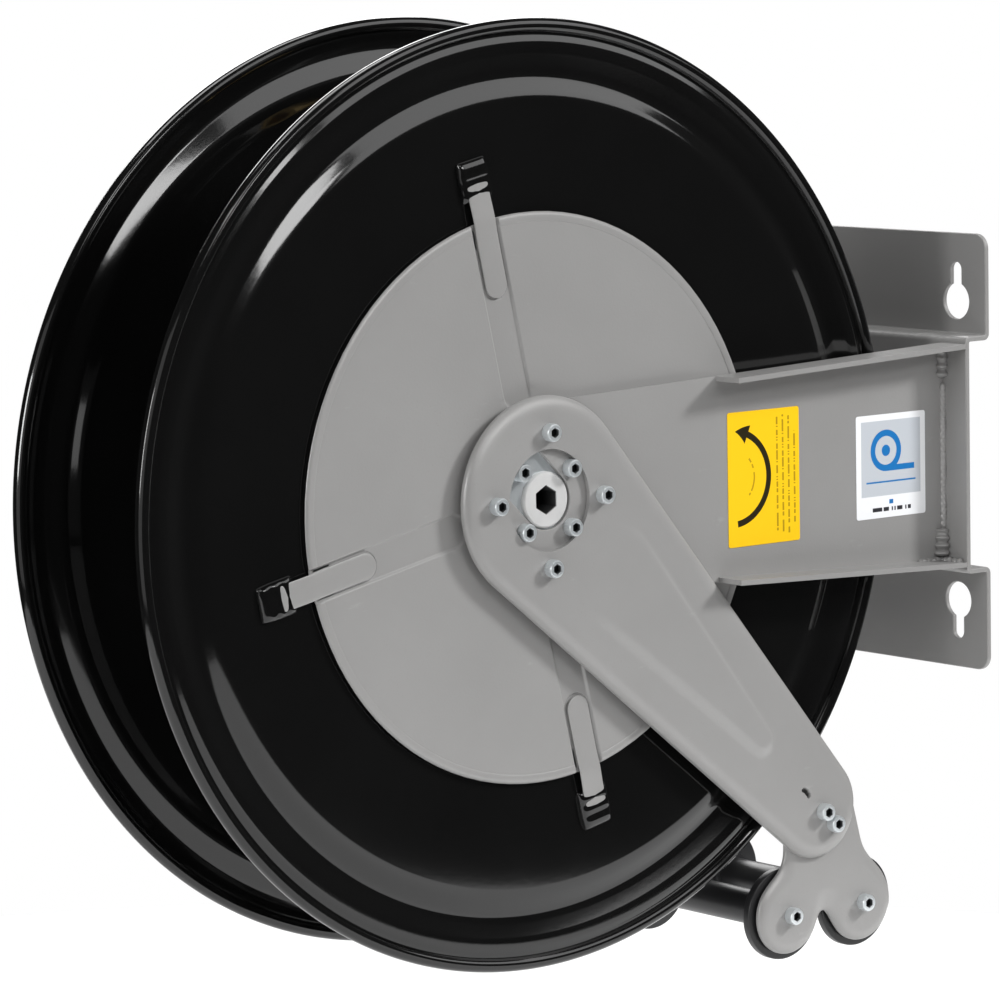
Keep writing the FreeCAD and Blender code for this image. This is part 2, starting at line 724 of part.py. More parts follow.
def wall_bracket():
    """A hat section bent from one sheet, with four keyholes in its tabs."""
    body = body_at((0, 0, 0))
    sheet = D.frame_sheet
    tall, crown = D.bracket_half_tall, D.crown_half
    upper = [
        (-sheet, crown),
        (-sheet, tall),
        (0, tall),
        (0, crown - sheet),
        (crown_x + sheet, crown - sheet),
    ]
    lower = [(x, -z) for x, z in reversed(upper)]
    corners = [(crown_x, -crown), (crown_x, crown)]
    profile = sketch_on(body, "XZ_Plane")
    add_outline(profile, upper + lower + corners)
    pad(body, profile, 2 * D.bracket_half_wide, symmetric=True)

    def bend(xs, level):
        def wanted(edge):
            size = edge.BoundBox
            flat = size.YLength > float(D.bracket_half_wide)
            there = any(abs(size.XMin - float(x)) < STRAIGHT for x in xs)
            return flat and there and abs(abs(size.ZMin) - float(level)) < STRAIGHT

        return wanted

    inner = crown - sheet
    fillet_body(body, D.bend_outer, bend((crown_x,), crown))
    fillet_body(body, D.bend_outer, bend((0,), inner))
    fillet_body(body, D.bend_inner, bend((-sheet,), crown))
    fillet_body(body, D.bend_inner, bend((crown_x + sheet,), inner))

    def tab_corner(edge):
        size = edge.BoundBox
        outer = abs(abs(size.ZMin) - float(tall)) < STRAIGHT
        through = abs(size.XLength - float(sheet)) < CLOSE
        return outer and through and size.YLength < STRAIGHT

    fillet_body(body, D.tab_corner, tab_corner)

    holes = sketch_on(body, "YZ_Plane")
    for side in (-1, 1):
        for end in (-1, 1):
            add_keyhole(holes, side * D.keyhole_y, end)
    cutter = pocket(body, holes, 2 * sheet)
    cutter.Midplane = True
    return body


def add_keyhole(sketch, y, end):
    """An entry circle that opens into a narrow slot, away from the hub."""
    entry, slot = float(D.keyhole_entry), float(D.keyhole_slot)
    centre_z = end * D.keyhole_z
    slot_z = end * (D.keyhole_z + D.keyhole_rise)
    lean = math.asin(slot / entry)
    mouth = float(centre_z) + end * entry * math.cos(lean)
    up = math.pi / 2
    if end > 0:
        wide_arc = add_arc(sketch, y, centre_z, entry, up + lean, up - lean + 2 * math.pi)
        narrow_arc = add_arc(sketch, y, slot_z, slot, 0, math.pi)
        left, right = float(y) - slot, float(y) + slot
    else:
        wide_arc = add_arc(sketch, y, centre_z, entry, -up + lean, -up - lean + 2 * math.pi)
        narrow_arc = add_arc(sketch, y, slot_z, slot, math.pi, 2 * math.pi)
        left, right = float(y) + slot, float(y) - slot
    first = add_line(sketch, (right, mouth), (right, float(slot_z)))
    second = add_line(sketch, (left, float(slot_z)), (left, mouth))
    for one, one_end, other, other_end in ((wide_arc, 2, first, 1), (second, 2, wide_arc, 1)):
        joint = Sketcher.Constraint("Coincident", one, one_end, other, other_end)
        sketch.addConstraint(joint)
    for one, one_end, other, other_end in ((first, 2, narrow_arc, 1), (narrow_arc, 2, second, 1)):
        joint = Sketcher.Constraint("Tangent", one, one_end, other, other_end)
        sketch.addConstraint(joint)
    sketch.addConstraint(Sketcher.Constraint("Vertical", first))
    sketch.addConstraint(Sketcher.Constraint("Vertical", second))
    held_radius(sketch, wide_arc, D.keyhole_entry)
    held_radius(sketch, narrow_arc, D.keyhole_slot)
    fixed_point(sketch, wide_arc, 3, y, centre_z)
    fixed_point(sketch, narrow_arc, 3, y, slot_z)


def arm_slope():
    """Lean of a side arm's edges, which touch its round end, in radians."""
    reach = float(D.wall_reach - D.crown_out)
    rise = float(D.arm_root_half)
    return math.atan2(rise, reach) - math.asin(float(D.arm_end_radius) / math.hypot(reach, rise))


def side_arm():
    """A channel arm: a web from hub to bracket with flanges turned outward."""
    body = body_at(hub_origin)
    reach = D.wall_reach - D.crown_out
    root, end = D.arm_root_half, float(D.arm_end_radius)
    lean = arm_slope()
    touch = math.pi / 2 + lean
    top = (end * math.cos(touch), end * math.sin(touch))
    web = sketch_on(body, "XZ_Plane", half + web_in)
    nose = add_arc(web, 0, 0, end, touch, 2 * math.pi - touch)
    lower = add_line(web, (top[0], -top[1]), (float(reach), -float(root)))
    back = add_line(web, (float(reach), -float(root)), (float(reach), float(root)))
    upper = add_line(web, (float(reach), float(root)), top)
    for one, one_end, other, other_end in ((nose, 2, lower, 1), (upper, 2, nose, 1)):
        web.addConstraint(Sketcher.Constraint("Tangent", one, one_end, other, other_end))
    for one, one_end, other, other_end in ((lower, 2, back, 1), (back, 2, upper, 1)):
        web.addConstraint(Sketcher.Constraint("Coincident", one, one_end, other, other_end))
    held_radius(web, nose, D.arm_end_radius)
    fixed_point(web, nose, 3, 0, 0)
    fixed_point(web, back, 1, reach, -root)
    fixed_point(web, back, 2, reach, root)
    pad(body, web, D.frame_sheet)

    lips = sketch_on(body, "XZ_Plane", half + web_in)
    slope = math.tan(lean)
    start = D.arm_lip_start
    outer_start = root - (reach - start) * slope
    inset = D.frame_sheet / math.cos(lean)
    for side in (1, -1):
        corners = [
            (start, side * (outer_start - inset)),
            (start, side * outer_start),
            (reach, side * root),
            (reach, side * (root - inset)),
        ]
        add_outline(lips, corners)
    pad(body, lips, D.arm_lip_wide)

    def outer_bend(edge):
        size = edge.BoundBox
        long_one = size.XLength > float(reach - start) / 2
        return long_one and at_y(edge, front(web_in)) and abs(size.ZMin) > end

    fillet_body(body, D.arm_bend, outer_bend)

    holes = sketch_on(body, "XZ_Plane", half + D.web_out)
    add_circle(holes, 0, 0, D.collar_radius + D.bearing_gap)
    for x, z in around(D.outer_pitch, 4):
        add_circle(holes, x - hub_x, z, D.screw_radius)
    pocket(body, holes, 2 * D.frame_sheet)
    return body


def shaft_collar():
    """A collar welded to the shaft, filling the side arm's hole."""
    inner = front(web_in - D.collar_sheet)
    outline = [
        (D.shaft_radius, inner),
        (D.collar_flange, inner),
        (D.collar_flange, front(web_in)),
        (D.collar_radius, front(web_in)),
        (D.collar_radius, front(D.web_out)),
        (D.shaft_radius, front(D.web_out)),
    ]
    blank = turned(outline)
    length = D.frame_sheet + D.collar_sheet
    drills = []
    for x, z in around(D.screw_pitch, 4, 45):
        drills.append(cylinder(D.screw_radius, length, (x, front(D.web_out), z)))
    return cut(blank, *drills)


def lock_plate():
    """A U-shaped plate slid round the shaft and screwed to its collar."""
    disc = cylinder(D.lock_radius, D.frame_sheet, (hub_x, front(lock_out), 0))
    bore = cylinder(D.lock_slot_half, D.frame_sheet, (hub_x, front(lock_out), 0))
    slot = box(
        (2 * D.lock_slot_half, D.frame_sheet, D.lock_radius),
        (hub_x, front(lock_out), 0),
    )
    slot.Placement.Rotation = Rotation(Vector(0, 1, 0), -45)
    sideways = D.lock_slot_half * cosine(45)
    move(slot, (hub_x - sideways, front(lock_out), -sideways))
    drills = []
    for x, z in around(D.outer_pitch, 4) + around(D.screw_pitch, 4, 45):
        reach = D.screw_radius + D.screw_gap
        drills.append(cylinder(reach, D.frame_sheet, (x, front(lock_out), z)))
    return cut(disc, bore, slot, *drills)


def main_shaft():
    """A fixed shaft: a key socket in front, a waterway from the rear."""
    nose, tail = front(D.shaft_end_out), half + D.shaft_tail_out
    outline = [
        (0, nose),
        (D.shaft_radius - D.shaft_chamfer, nose),
        (D.shaft_radius, nose + D.shaft_chamfer),
        (D.shaft_radius, tail),
        (D.inlet_spigot, tail),
        (D.inlet_spigot, tail - D.inlet_spigot_long),
        (D.waterway_radius, tail - D.inlet_spigot_long),
        (D.waterway_radius, D.port_y - D.port_radius),
        (0, D.port_y - D.port_radius),
    ]
    blank = turned(outline)
    socket = hexagon(D.socket_flats, D.socket_deep, (hub_x, nose, 0))
    ports = []
    for i in range(int(D.port_count)):
        angle = 45 + 360 * i / int(D.port_count)
        turn = Rotation(Vector(0, 1, 0), angle)
        reach = D.shaft_radius + THROUGH
        ports.append(cylinder(D.port_radius, reach, (hub_x, D.port_y, 0), turn=turn))
    return cut(blank, socket, *ports)


def spring_arbor():
    """A sleeve on the shaft, slotted for the power spring's inner end."""
    start = D.arbor_start
    sleeve = turned(ring(D.shaft_radius, D.arbor_radius, start, start + D.arbor_long))
    slot = box(
        (D.hook_slot, D.arbor_long, D.arbor_radius),
        (hub_x - D.hook_slot / 2, start, D.shaft_radius + THROUGH),
    )
    return cut(sleeve, slot)


def guide_turn():
    """The turn that points a guide arm down towards the rollers."""
    return Rotation(Vector(0, 1, 0), float(D.guide_angle))


def along_guide(distance):
    """X and Z of a point on the guide arm's centre line."""
    return hub_x + distance * cosine(D.guide_angle), -distance * sine(D.guide_angle)


def panel_outline(body, outward, inset):
    """The raised panel's outline at one level."""
    sketch = sketch_on(body, "XZ_Plane", half + outward)
    first = D.panel_start + D.panel_big
    last = D.panel_end - D.panel_small
    add_teardrop(sketch, first, D.panel_big - inset, last, D.panel_small - inset)
    return sketch


def guide_arm():
    """A pressed arm: a shallow tray with a raised panel, open behind."""
    body = body_at(hub_origin, guide_turn())
    tray = sketch_on(body, "XZ_Plane", half + guide_out - D.guide_deep)
    add_teardrop(tray, 0, D.guide_big, D.guide_long, D.guide_small)
    pad(body, tray, D.guide_deep)
    fillet_body(body, D.guide_edge, lambda edge: at_y(edge, front(guide_out)))

    hollow = sketch_on(body, "XZ_Plane", half + guide_out - D.frame_sheet)
    sheet = D.frame_sheet
    add_teardrop(hollow, 0, D.guide_big - sheet, D.guide_long, D.guide_small - sheet)
    pocket(body, hollow, D.guide_deep).Reversed = False

    top = guide_out + D.panel_rise
    for kind, low, high in (
        ("Additive", guide_out, top),
        ("Subtractive", guide_out - sheet, top - sheet),
    ):
        loft(body, kind, panel_outline(body, low, 0), panel_outline(body, high, D.panel_slope))

    holes = sketch_on(body, "XZ_Plane", half + top)
    add_circle(holes, 0, 0, D.guide_window)
    clear = D.screw_radius + D.screw_gap
    for i in range(4):
        angle = 45 + 90 * i
        add_circle(holes, D.outer_pitch * cosine(angle), D.outer_pitch * sine(angle), clear)
    for i in range(2):
        add_circle(holes, D.tip_screw_in + i * D.tip_screw_pitch, 0, clear)
    add_circle(holes, D.tip_slot_in, 0, D.tip_slot_half)
    pocket(body, holes, 2 * D.frame_sheet)
    return body


def roller_plate():
    """A two-lobed pressed plate with its edge turned back."""
    tip_x, tip_z = along_guide(D.guide_long)
    a_x, z = hub_x + D.roller_a_x, -D.roller_drop
    b_x = a_x + D.roller_pitch
    outer, fillet = float(D.lobe_radius), float(D.plate_fillet)
    top, top_x = float(D.plate_top_radius), tip_x + D.plate_shift

    def disc(x, z, radius):
        centre = Vector(float(x), 0, float(z))
        edge = Part.makeCircle(float(radius), centre, Vector(0, -1, 0))
        return Part.Face(Part.Wire(edge))

    neck = [
        (top_x - top, tip_z),
        (top_x - top, z + outer),
        (a_x, z),
        (b_x, z),
        (b_x + D.plate_flare, z + outer),
        (top_x + top, tip_z),
    ]
    corners = [Vector(float(x), 0, float(height)) for x, height in neck]
    middle = Part.Face(Part.makePolygon(corners + corners[:1]))
    blank = middle.fuse([disc(top_x, tip_z, top), disc(a_x, z, outer), disc(b_x, z, outer)])
    blank = blank.removeSplitter()
    face = blank.Faces[0].makeOffset2D(fillet).makeOffset2D(-fillet)
    inner = face.makeOffset2D(-float(D.frame_sheet))
    deep, edge_radius = float(D.plate_deep), float(D.plate_edge)
    tray = face.extrude(Vector(0, -deep, 0))
    rim = [edge for edge in tray.Edges if at_y(edge, -deep)]
    tray = tray.makeFillet(edge_radius, rim)
    hollow = inner.extrude(Vector(0, -(deep - float(D.frame_sheet)), 0))
    shape = tray.cut(hollow)
    thing = doc.addObject("Part::Feature", "pressed_plate")
    thing.Shape = shape.Solids[0]
    thing.Placement = FreeCAD.Placement()
    move(thing, (0, front(D.web_out - D.plate_deep), 0))
    clear = D.screw_radius + D.screw_gap
    drills = []
    for i in range(2):
        x, height = along_guide(D.tip_screw_in + i * D.tip_screw_pitch)
        drills.append(cylinder(clear, D.plate_deep, (x, front(D.web_out), height)))
    for x in (a_x, b_x):
        drills.append(cylinder(clear, D.plate_deep, (x, front(D.web_out), z)))
    return cut(thing, *drills)


def tip_places(outward):
    """The two tip screws' places at a plane outward of the rim."""
    places = []
    for i in range(2):
        x, z = along_guide(D.tip_screw_in + i * D.tip_screw_pitch)
        places.append((x, front(outward), z))
    return places


def tip_spacers():
    """Short tubes between the guide arm and the roller plate."""
    spacers = []
    for place in tip_places(lock_out):
        tube = cylinder(D.spacer_radius, D.frame_sheet, place)
        bore = cylinder(D.screw_radius + D.screw_gap, D.frame_sheet, place)
        spacers.append(cut(tube, bore))
    return group(*spacers)


def tip_nuts():
    """Nuts behind the roller plate."""
    nuts = []
    for place in tip_places(web_in):
        blank = hexagon(D.nut_flats, D.nut_tall, place)
        nuts.append(cut(blank, cylinder(D.screw_radius, D.nut_tall, place)))
    return group(*nuts)


def roller_places(outward):
    """The two roller axles' places at a plane outward of the rim."""
    first = hub_x + D.roller_a_x
    return [(x, front(outward), -D.roller_drop) for x in (first, first + D.roller_pitch)]


def inlet_fitting():
    """The threaded inlet in the shaft's rear end."""
    tail = half + D.shaft_tail_out
    hex_end = tail + D.inlet_hex_tall
    end = hex_end + D.inlet_neck_long
    spigot = cylinder(D.inlet_spigot, D.inlet_spigot_long, (hub_x, tail - D.inlet_spigot_long, 0))
    flats = hexagon(D.inlet_flats, D.inlet_hex_tall, (hub_x, tail, 0))
    neck = cylinder(D.inlet_neck, D.inlet_neck_long, (hub_x, hex_end, 0))
    bore = cylinder(D.waterway_radius, end - tail + D.inlet_spigot_long,
                    (hub_x, tail - D.inlet_spigot_long, 0))
    thread = cylinder(D.thread_bore, D.thread_depth, (hub_x, end - D.thread_depth, 0))
    return cut(fuse(spigot, flats, neck), bore, thread)


def pawl_place(y):
    """The pawl's pivot at a Y."""
    return hub_x + D.pawl_x, y, D.pawl_z


def pawl_pin():
    """The pawl's pivot pin, headed outside the rear side arm."""
    outline = [
        (0, half + D.pawl_out),
        (D.pin_radius, half + D.pawl_out),
        (D.pin_radius, half + D.pawl_out + D.pawl_sheet + D.running_gap),
        (D.pin_shoulder, half + D.pawl_out + D.pawl_sheet + D.running_gap),
        (D.pin_shoulder, half + web_in),
        (D.pin_radius, half + web_in),
        (D.pin_radius, half + D.web_out),
        (D.pin_head, half + D.web_out),
        (D.pin_head, half + D.web_out + D.pin_head_tall),
        (0, half + D.web_out + D.pin_head_tall),
    ]
    return turned(outline, pawl_place(0))


def pawl_spring():
    """A hairpin of wire: half a turn about the pin and two straight legs."""
    coil, wire, leg = float(D.wire_coil), float(D.wire_radius), float(D.wire_leg)
    back = Part.Arc(Vector(0, 0, coil), Vector(-coil, 0, 0), Vector(0, 0, -coil)).toShape()
    upper = Part.makeLine(Vector(leg, 0, coil), Vector(0, 0, coil))
    lower = Part.makeLine(Vector(0, 0, -coil), Vector(leg, 0, -coil))
    path = Part.Wire([upper, back, lower])
    section = Part.Wire(Part.makeCircle(wire, Vector(leg, 0, coil), Vector(-1, 0, 0)))
    thing = doc.addObject("Part::Feature", "wire")
    thing.Shape = path.makePipeShell([section], True, False)
    thing.Placement = FreeCAD.Placement(Vector(), Rotation(Vector(0, 1, 0), -float(D.pawl_rest)))
    move(thing, pawl_place(half + web_in - D.wire_radius))
    return thing


def label(near, wide, tall, drop):
    """A thin plate on the front side arm's web."""
    plate = box(
        (wide, D.label_sheet, tall),
        (hub_x + near, front(D.web_out + D.label_sheet), -(tall / 2 + drop)),
    )

    def corner(edge):
        size = edge.BoundBox
        return size.XLength < STRAIGHT and size.ZLength < STRAIGHT

    return rounded(plate, D.label_corner, corner)


def build_frame():
    """Every piece that stays still with the wall."""
    node("wall_bracket", wall_bracket())
    arm = node("front_side_arm", side_arm())
    pin_hole = cylinder(D.pin_radius, D.frame_sheet, pawl_place(half + web_in))
    node("rear_side_arm", cut(mirrored(arm), pin_hole))
    node("main_shaft", main_shaft())
    node("spring_arbor", spring_arbor())
    collar = node("front_shaft_collar", shaft_collar())
    node("rear_shaft_collar", mirrored(collar))
    plate = node("front_lock_plate", lock_plate())
    node("rear_lock_plate", mirrored(plate))

    deep = D.frame_sheet + D.collar_sheet - D.running_gap
    on_plate = [(x, front(lock_out), z) for x, z in around(D.screw_pitch, 4, 45)]
    in_slot = on_plate.pop(1)
    short = screws(deep, [(in_slot[0], front(D.web_out), in_slot[2])])
    longer = screws(deep + D.frame_sheet, on_plate)
    inner = node("front_collar_screws", group(short, longer))
    node("rear_collar_screws", mirrored(inner))

    arm_plate = node("front_guide_arm", guide_arm())
    node("rear_guide_arm", mirrored(arm_plate))
    through = 3 * D.frame_sheet - D.running_gap
    seats = [(x, front(guide_out), z) for x, z in around(D.outer_pitch, 4)]
    outer = node("front_arm_screws", screws(through, seats))
    node("rear_arm_screws", mirrored(outer))

    lobes = node("front_roller_plate", roller_plate())
    node("rear_roller_plate", mirrored(lobes))
    long_one = 3 * D.frame_sheet + D.nut_tall
    tips = node("front_tip_screws", screws(long_one, tip_places(guide_out)))
    node("rear_tip_screws", mirrored(tips))
    spacers = node("front_tip_spacers", tip_spacers())
    node("rear_tip_spacers", mirrored(spacers))
    nuts = node("front_tip_nuts", tip_nuts())
    node("rear_tip_nuts", mirrored(nuts))
    reach = D.frame_sheet + D.thread_depth - D.screw_head_tall
    ends = node("front_axle_screws", screws(reach, roller_places(D.web_out)))
    node("rear_axle_screws", mirrored(ends))

    node("inlet_fitting", inlet_fitting())
    node("pawl_pin", pawl_pin())
    node("pawl_spring", pawl_spring())
    direction = label(D.direction_x, D.direction_wide, D.direction_tall, D.direction_drop)
    node("direction_label", direction)
    rating = label(D.rating_x, D.rating_wide, D.rating_tall, D.rating_drop)
    node("rating_label", rating)


# --------------------------------------------------------------- rollers


def roller_axle(place):
    """A fixed axle with a shoulder and a threaded hole at each end."""
    shoulder = half + D.roller_out + D.running_gap
    end = half + web_in
    deep = end - D.thread_depth
    outline = [
        (0, -deep),
        (D.screw_radius, -deep),
        (D.screw_radius, -end),
        (D.axle_shoulder, -end),
        (D.axle_shoulder, -shoulder),
        (D.axle_radius, -shoulder),
        (D.axle_radius, shoulder),
        (D.axle_shoulder, shoulder),
        (D.axle_shoulder, end),
        (D.screw_radius, end),
        (D.screw_radius, deep),
        (0, deep),
    ]
    return turned(outline, place)


def roller_cap(place):
    """A flanged end cap, with a spigot that fills the tube's end."""
    bore = D.axle_radius + D.axle_gap
    face = front(D.roller_out)
    neck = face + D.cap_sheet
    seat = neck + D.cap_neck_long
    seam = neck + D.cap_neck_long / 2
    fit = D.roller_tube - D.roller_wall
    outline = [
        (bore, face),
        (D.cap_radius - D.cap_seam, face),
        (D.cap_radius, face + D.cap_seam),
        (D.cap_radius, neck),
        (D.cap_neck, neck),
        (D.cap_neck, seam - D.cap_seam),
        (D.cap_neck - D.cap_seam, seam),
        (D.cap_neck, seam + D.cap_seam),
        (D.cap_neck, seat),
        (fit, seat),
        (fit, seat + D.cap_spigot_long),
        (bore, seat + D.cap_spigot_long),
    ]
    return turned(outline, place)


def build_rollers():
    """Two guide rollers, each a tube between two flanged caps."""
    seat = front(D.roller_out) + D.cap_sheet + D.cap_neck_long
    for name, (x, _, z) in zip("ab", roller_places(0)):
        place = (x, 0, z)
        node(f"roller_axle_{name}", roller_axle(place))
        tube = ring(D.roller_tube - D.roller_wall, D.roller_tube, seat, -seat)
        node(f"roller_{name}_tube", turned(tube, place))
        cap = node(f"roller_{name}_front_cap", roller_cap(place))
        node(f"roller_{name}_rear_cap", mirrored(cap))


# ------------------------------------------------------------------ drum


def flange(hole, side):
    """A pressed disc with a V groove, a ridge and a rolled rim."""
    sheet = D.drum_sheet
    groove_out = D.disc_out - D.groove_deep
    ridge = D.groove_radius + D.groove_half
    roll = D.drum_radius - D.rim_roll
    face = [
        (hole, D.disc_out),
        (D.groove_radius - D.groove_half, D.disc_out),
        (D.groove_radius, groove_out),
        (ridge, D.disc_out),
        (ridge + D.ridge_wide, D.disc_out),
        (ridge + D.ridge_wide + D.rim_roll, sheet / 2),
        (roll, sheet / 2),
    ]
    back = [(radius, out - sheet) for radius, out in reversed(face)]
    body = body_at(hub_origin)
    sketch = sketch_on(body, "XY_Plane")
    add_outline(sketch, [(radius, side * (half + out)) for radius, out in face + back])
    revolve(body, sketch)
    rim = sketch_on(body, "XY_Plane")
    add_circle(rim, roll, side * half, D.rim_roll)
    revolve(body, rim)
    return body


def drum_core():
    """The cylinder between the flanges, with a hole for the hose outlet."""
    end = half + disc_in
    tube = turned(ring(D.core_radius - D.drum_sheet, D.core_radius, -end, end))
    hole = cylinder(
        D.outlet_radius + D.screw_gap,
        D.core_radius + THROUGH,
        (hub_x, D.port_y, 0),
        along="z",
    )
    return cut(tube, hole)


def spring_case():
    """A cup in the drum: lip on the front flange, hub round the front bush."""
    sheet = D.drum_sheet
    seat, lip = front(D.disc_out), front(lip_out)
    floor = D.case_floor
    hub_end = floor + D.front_bush_long - D.bush_flange_sheet
    bush = D.shaft_radius + D.bearing_gap + D.bush_wall
    outline = [
        (D.case_radius - sheet, lip),
        (D.cover_radius - 2 * sheet, lip),
        (D.cover_radius - 2 * sheet, seat),
        (D.case_radius, seat),
        (D.case_radius, floor + sheet),
        (D.case_hub, floor + sheet),
        (D.case_hub, hub_end),
        (bush, hub_end),
        (bush, floor),
        (D.case_radius - sheet, floor),
    ]
    return turned(outline)


def spring_case_cover():
    """A dished lid with a rolled bead and four radial flutes."""
    sheet = D.drum_sheet
    outer, inner = front(cover_out), front(lip_out)
    dish = D.dish_deep
    slope = D.dish_slope
    edge = D.cover_radius - sheet
    body = body_at(hub_origin)
    sketch = sketch_on(body, "XY_Plane")
    outline = [
        (D.cover_hole, outer + dish),
        (D.cover_dish, outer + dish),
        (D.cover_dish + slope, outer),
        (D.cover_radius, outer),
        (D.cover_radius, inner + sheet / 2),
        (edge, inner + sheet / 2),
        (edge, inner),
        (D.cover_dish + slope, inner),
        (D.cover_dish, inner + dish),
        (D.cover_hole, inner + dish),
    ]
    add_outline(sketch, outline)
    revolve(body, sketch)
    bead = sketch_on(body, "XY_Plane")
    add_circle(bead, D.cover_radius - D.bead_radius, outer + D.bead_radius / 2, D.bead_radius)
    revolve(body, bead)
    top = cover_out + D.bead_radius
    flutes = []
    for turn in clip_turns():
        long_one = D.cover_radius + THROUGH - D.flute_inner
        height = top - cover_out + D.flute_deep
        bar = box((long_one, height, D.flute_wide), (0, 0, 0))
        round_end = cylinder(D.flute_wide / 2, height, (0, 0, 0))
        y = front(top)
        place_radially(bar, turn, D.flute_inner, -D.flute_wide / 2, y)
        place_radially(round_end, turn, D.flute_inner, 0, y, TURNS["y"])
        flutes.append(fuse(bar, round_end))
    return cut(body, *flutes)


def clip_turns():
    """Angles of the clips below the horizontal, about the hub."""
    step = 360 / int(D.clip_count)
    return [90 - D.clip_angle + i * step for i in range(int(D.clip_count))]


def place_radially(thing, turn, out, across, y, first=None):
    """Turn a thing about the hub and set it at a radius and a side step."""
    thing.Placement.Rotation = Rotation(Vector(0, 1, 0), float(turn)) * (first or Rotation())
    x = hub_x + out * cosine(turn) + across * sine(turn)
    z = across * cosine(turn) - out * sine(turn)
    move(thing, (x, y, z))


def cover_clips():
    """Strap clips that lie in the flutes and hook into the keepers."""
    top = cover_out - D.flute_deep + D.clip_sheet
    clips = []
    for turn in clip_turns():
        inner = D.clip_inner + D.clip_wide / 2
        strap = box((D.clip_outer - inner, D.clip_sheet, D.clip_wide), (0, 0, 0))
        place_radially(strap, turn, inner, -D.clip_wide / 2, front(top))
        end = cylinder(D.clip_wide / 2, D.clip_sheet, (0, 0, 0))
        place_radially(end, turn, inner, 0, front(top), TURNS["y"])
        clips.append(fuse(strap, end))
    return group(*clips)


def clip_keepers():
    """Blocks on the flange, each with a slot that takes a clip."""
    top = D.disc_out + D.keeper_tall
    slot_out = cover_out - D.flute_deep + D.clip_sheet + D.clip_gap
    keepers = []
    for turn in clip_turns():
        block = box((D.keeper_long, D.keeper_tall, D.keeper_wide), (0, 0, 0))
        place_radially(block, turn, D.keeper_inner, -D.keeper_wide / 2, front(top))
        slot_long = D.clip_outer - D.keeper_inner + D.running_gap
        slot_tall = D.clip_sheet + 2 * D.clip_gap
        slot = box((slot_long, slot_tall, D.clip_wide + D.clip_sheet), (0, 0, 0))
        across = -(D.clip_wide + D.clip_sheet) / 2
        place_radially(slot, turn, D.keeper_inner, across, front(slot_out))
        valleys = []
        for i in (1, 2, 3):
            valley = box((D.ridge_gap / 2, D.valley_deep, D.keeper_wide), (0, 0, 0))
            out = D.keeper_inner + i * D.ridge_gap
            place_radially(valley, turn, out, -D.keeper_wide / 2, front(top))
            valleys.append(valley)
        keepers.append(cut(block, slot, *valleys))
    return group(*keepers)


def power_spring():
    """A flat strip wound in half circles whose radius grows by half a pitch."""
    inner, pitch = float(D.spring_inner), float(D.spring_pitch)
    strip = float(D.spring_strip)
    halves = 2 * int(D.spring_turns)

    def winding(extra):
        arcs = []
        end_x = -(inner + extra)
        for i in range(halves):
            radius = inner + extra + i * pitch / 2
            way = 1 if i % 2 == 0 else -1
            centre = end_x + way * radius
            far = centre + way * radius
            arc = Part.Arc(
                Vector(end_x, 0, 0),
                Vector(centre, 0, way * radius),
                Vector(far, 0, 0),
            )
            arcs.append(arc.toShape())
            end_x = far
        return arcs, end_x

    near, near_end = winding(0)
    far, far_end = winding(strip)
    caps = [
        Part.makeLine(Vector(-inner, 0, 0), Vector(-(inner + strip), 0, 0)),
        Part.makeLine(Vector(near_end, 0, 0), Vector(far_end, 0, 0)),
    ]
    wire = Part.Wire(Part.__sortEdges__(near + far + caps))
    strip_shape = Part.Face(wire).extrude(Vector(0, float(D.spring_wide), 0))
    thing = doc.addObject("Part::Feature", "power_spring")
    thing.Shape = strip_shape
    thing.Placement = FreeCAD.Placement()
    move(thing, (hub_x, D.spring_begin, 0))
    tail = box(
        (D.spring_wall - D.spring_outer, D.spring_wide, D.spring_strip),
        (hub_x - D.spring_wall, D.spring_begin, -D.spring_strip),
    )
    return fuse(thing, tail)


def front_bush():
    """The bush between shaft and spring case, flanged at its rear end."""
    bore = D.shaft_radius + D.bearing_gap
    start = D.case_floor
    end = start + D.front_bush_long
    shoulder = end - D.bush_flange_sheet
    outline = [
        (bore, start),
        (bore + D.bush_wall, start),
        (bore + D.bush_wall, shoulder),
        (D.bush_flange, shoulder),
        (D.bush_flange, end),
        (bore, end),
    ]
    return turned(outline)


def swivel_body():
    """The brass swivel that carries water from the shaft to the drum."""
    bore = D.shaft_radius + D.bearing_gap
    start, end = D.swivel_start, D.swivel_end
    bush = end - D.rear_bush_long
    low, high = D.port_y - D.chamber_half, D.port_y + D.chamber_half
    groove = D.shaft_radius + D.seal_deep
    outline = [(bore, start), (D.swivel_radius, start)]
    outline += [(D.swivel_radius, end - D.swivel_flange_tall)]
    outline += [(D.swivel_flange, end - D.swivel_flange_tall), (D.swivel_flange, end)]
    outline += [(bore + D.bush_wall, end), (bore + D.bush_wall, bush), (bore, bush)]
    for first, last, radius in (
        seal_span(1) + (groove,),
        (low, high, D.chamber_radius),
        seal_span(-1) + (groove,),
    ):
        outline += [(bore, last), (radius, last), (radius, first), (bore, first)]
    blank = turned(outline)
    reach = D.swivel_radius
    socket = cylinder(D.pipe_radius, reach, (hub_x, D.port_y, D.pipe_start), along="z")
    port = cylinder(D.waterway_radius, reach, (hub_x, D.port_y, bore + THROUGH), along="z")
    rivets = rivet_drills(end - D.swivel_flange_tall, D.swivel_flange_tall)
    return cut(blank, socket, port, *rivets)


def seal_span(way):
    """Where a seal's groove starts and ends along Y."""
    middle = D.port_y + way * D.seal_offset
    return middle - D.seal_wide / 2, middle + D.seal_wide / 2


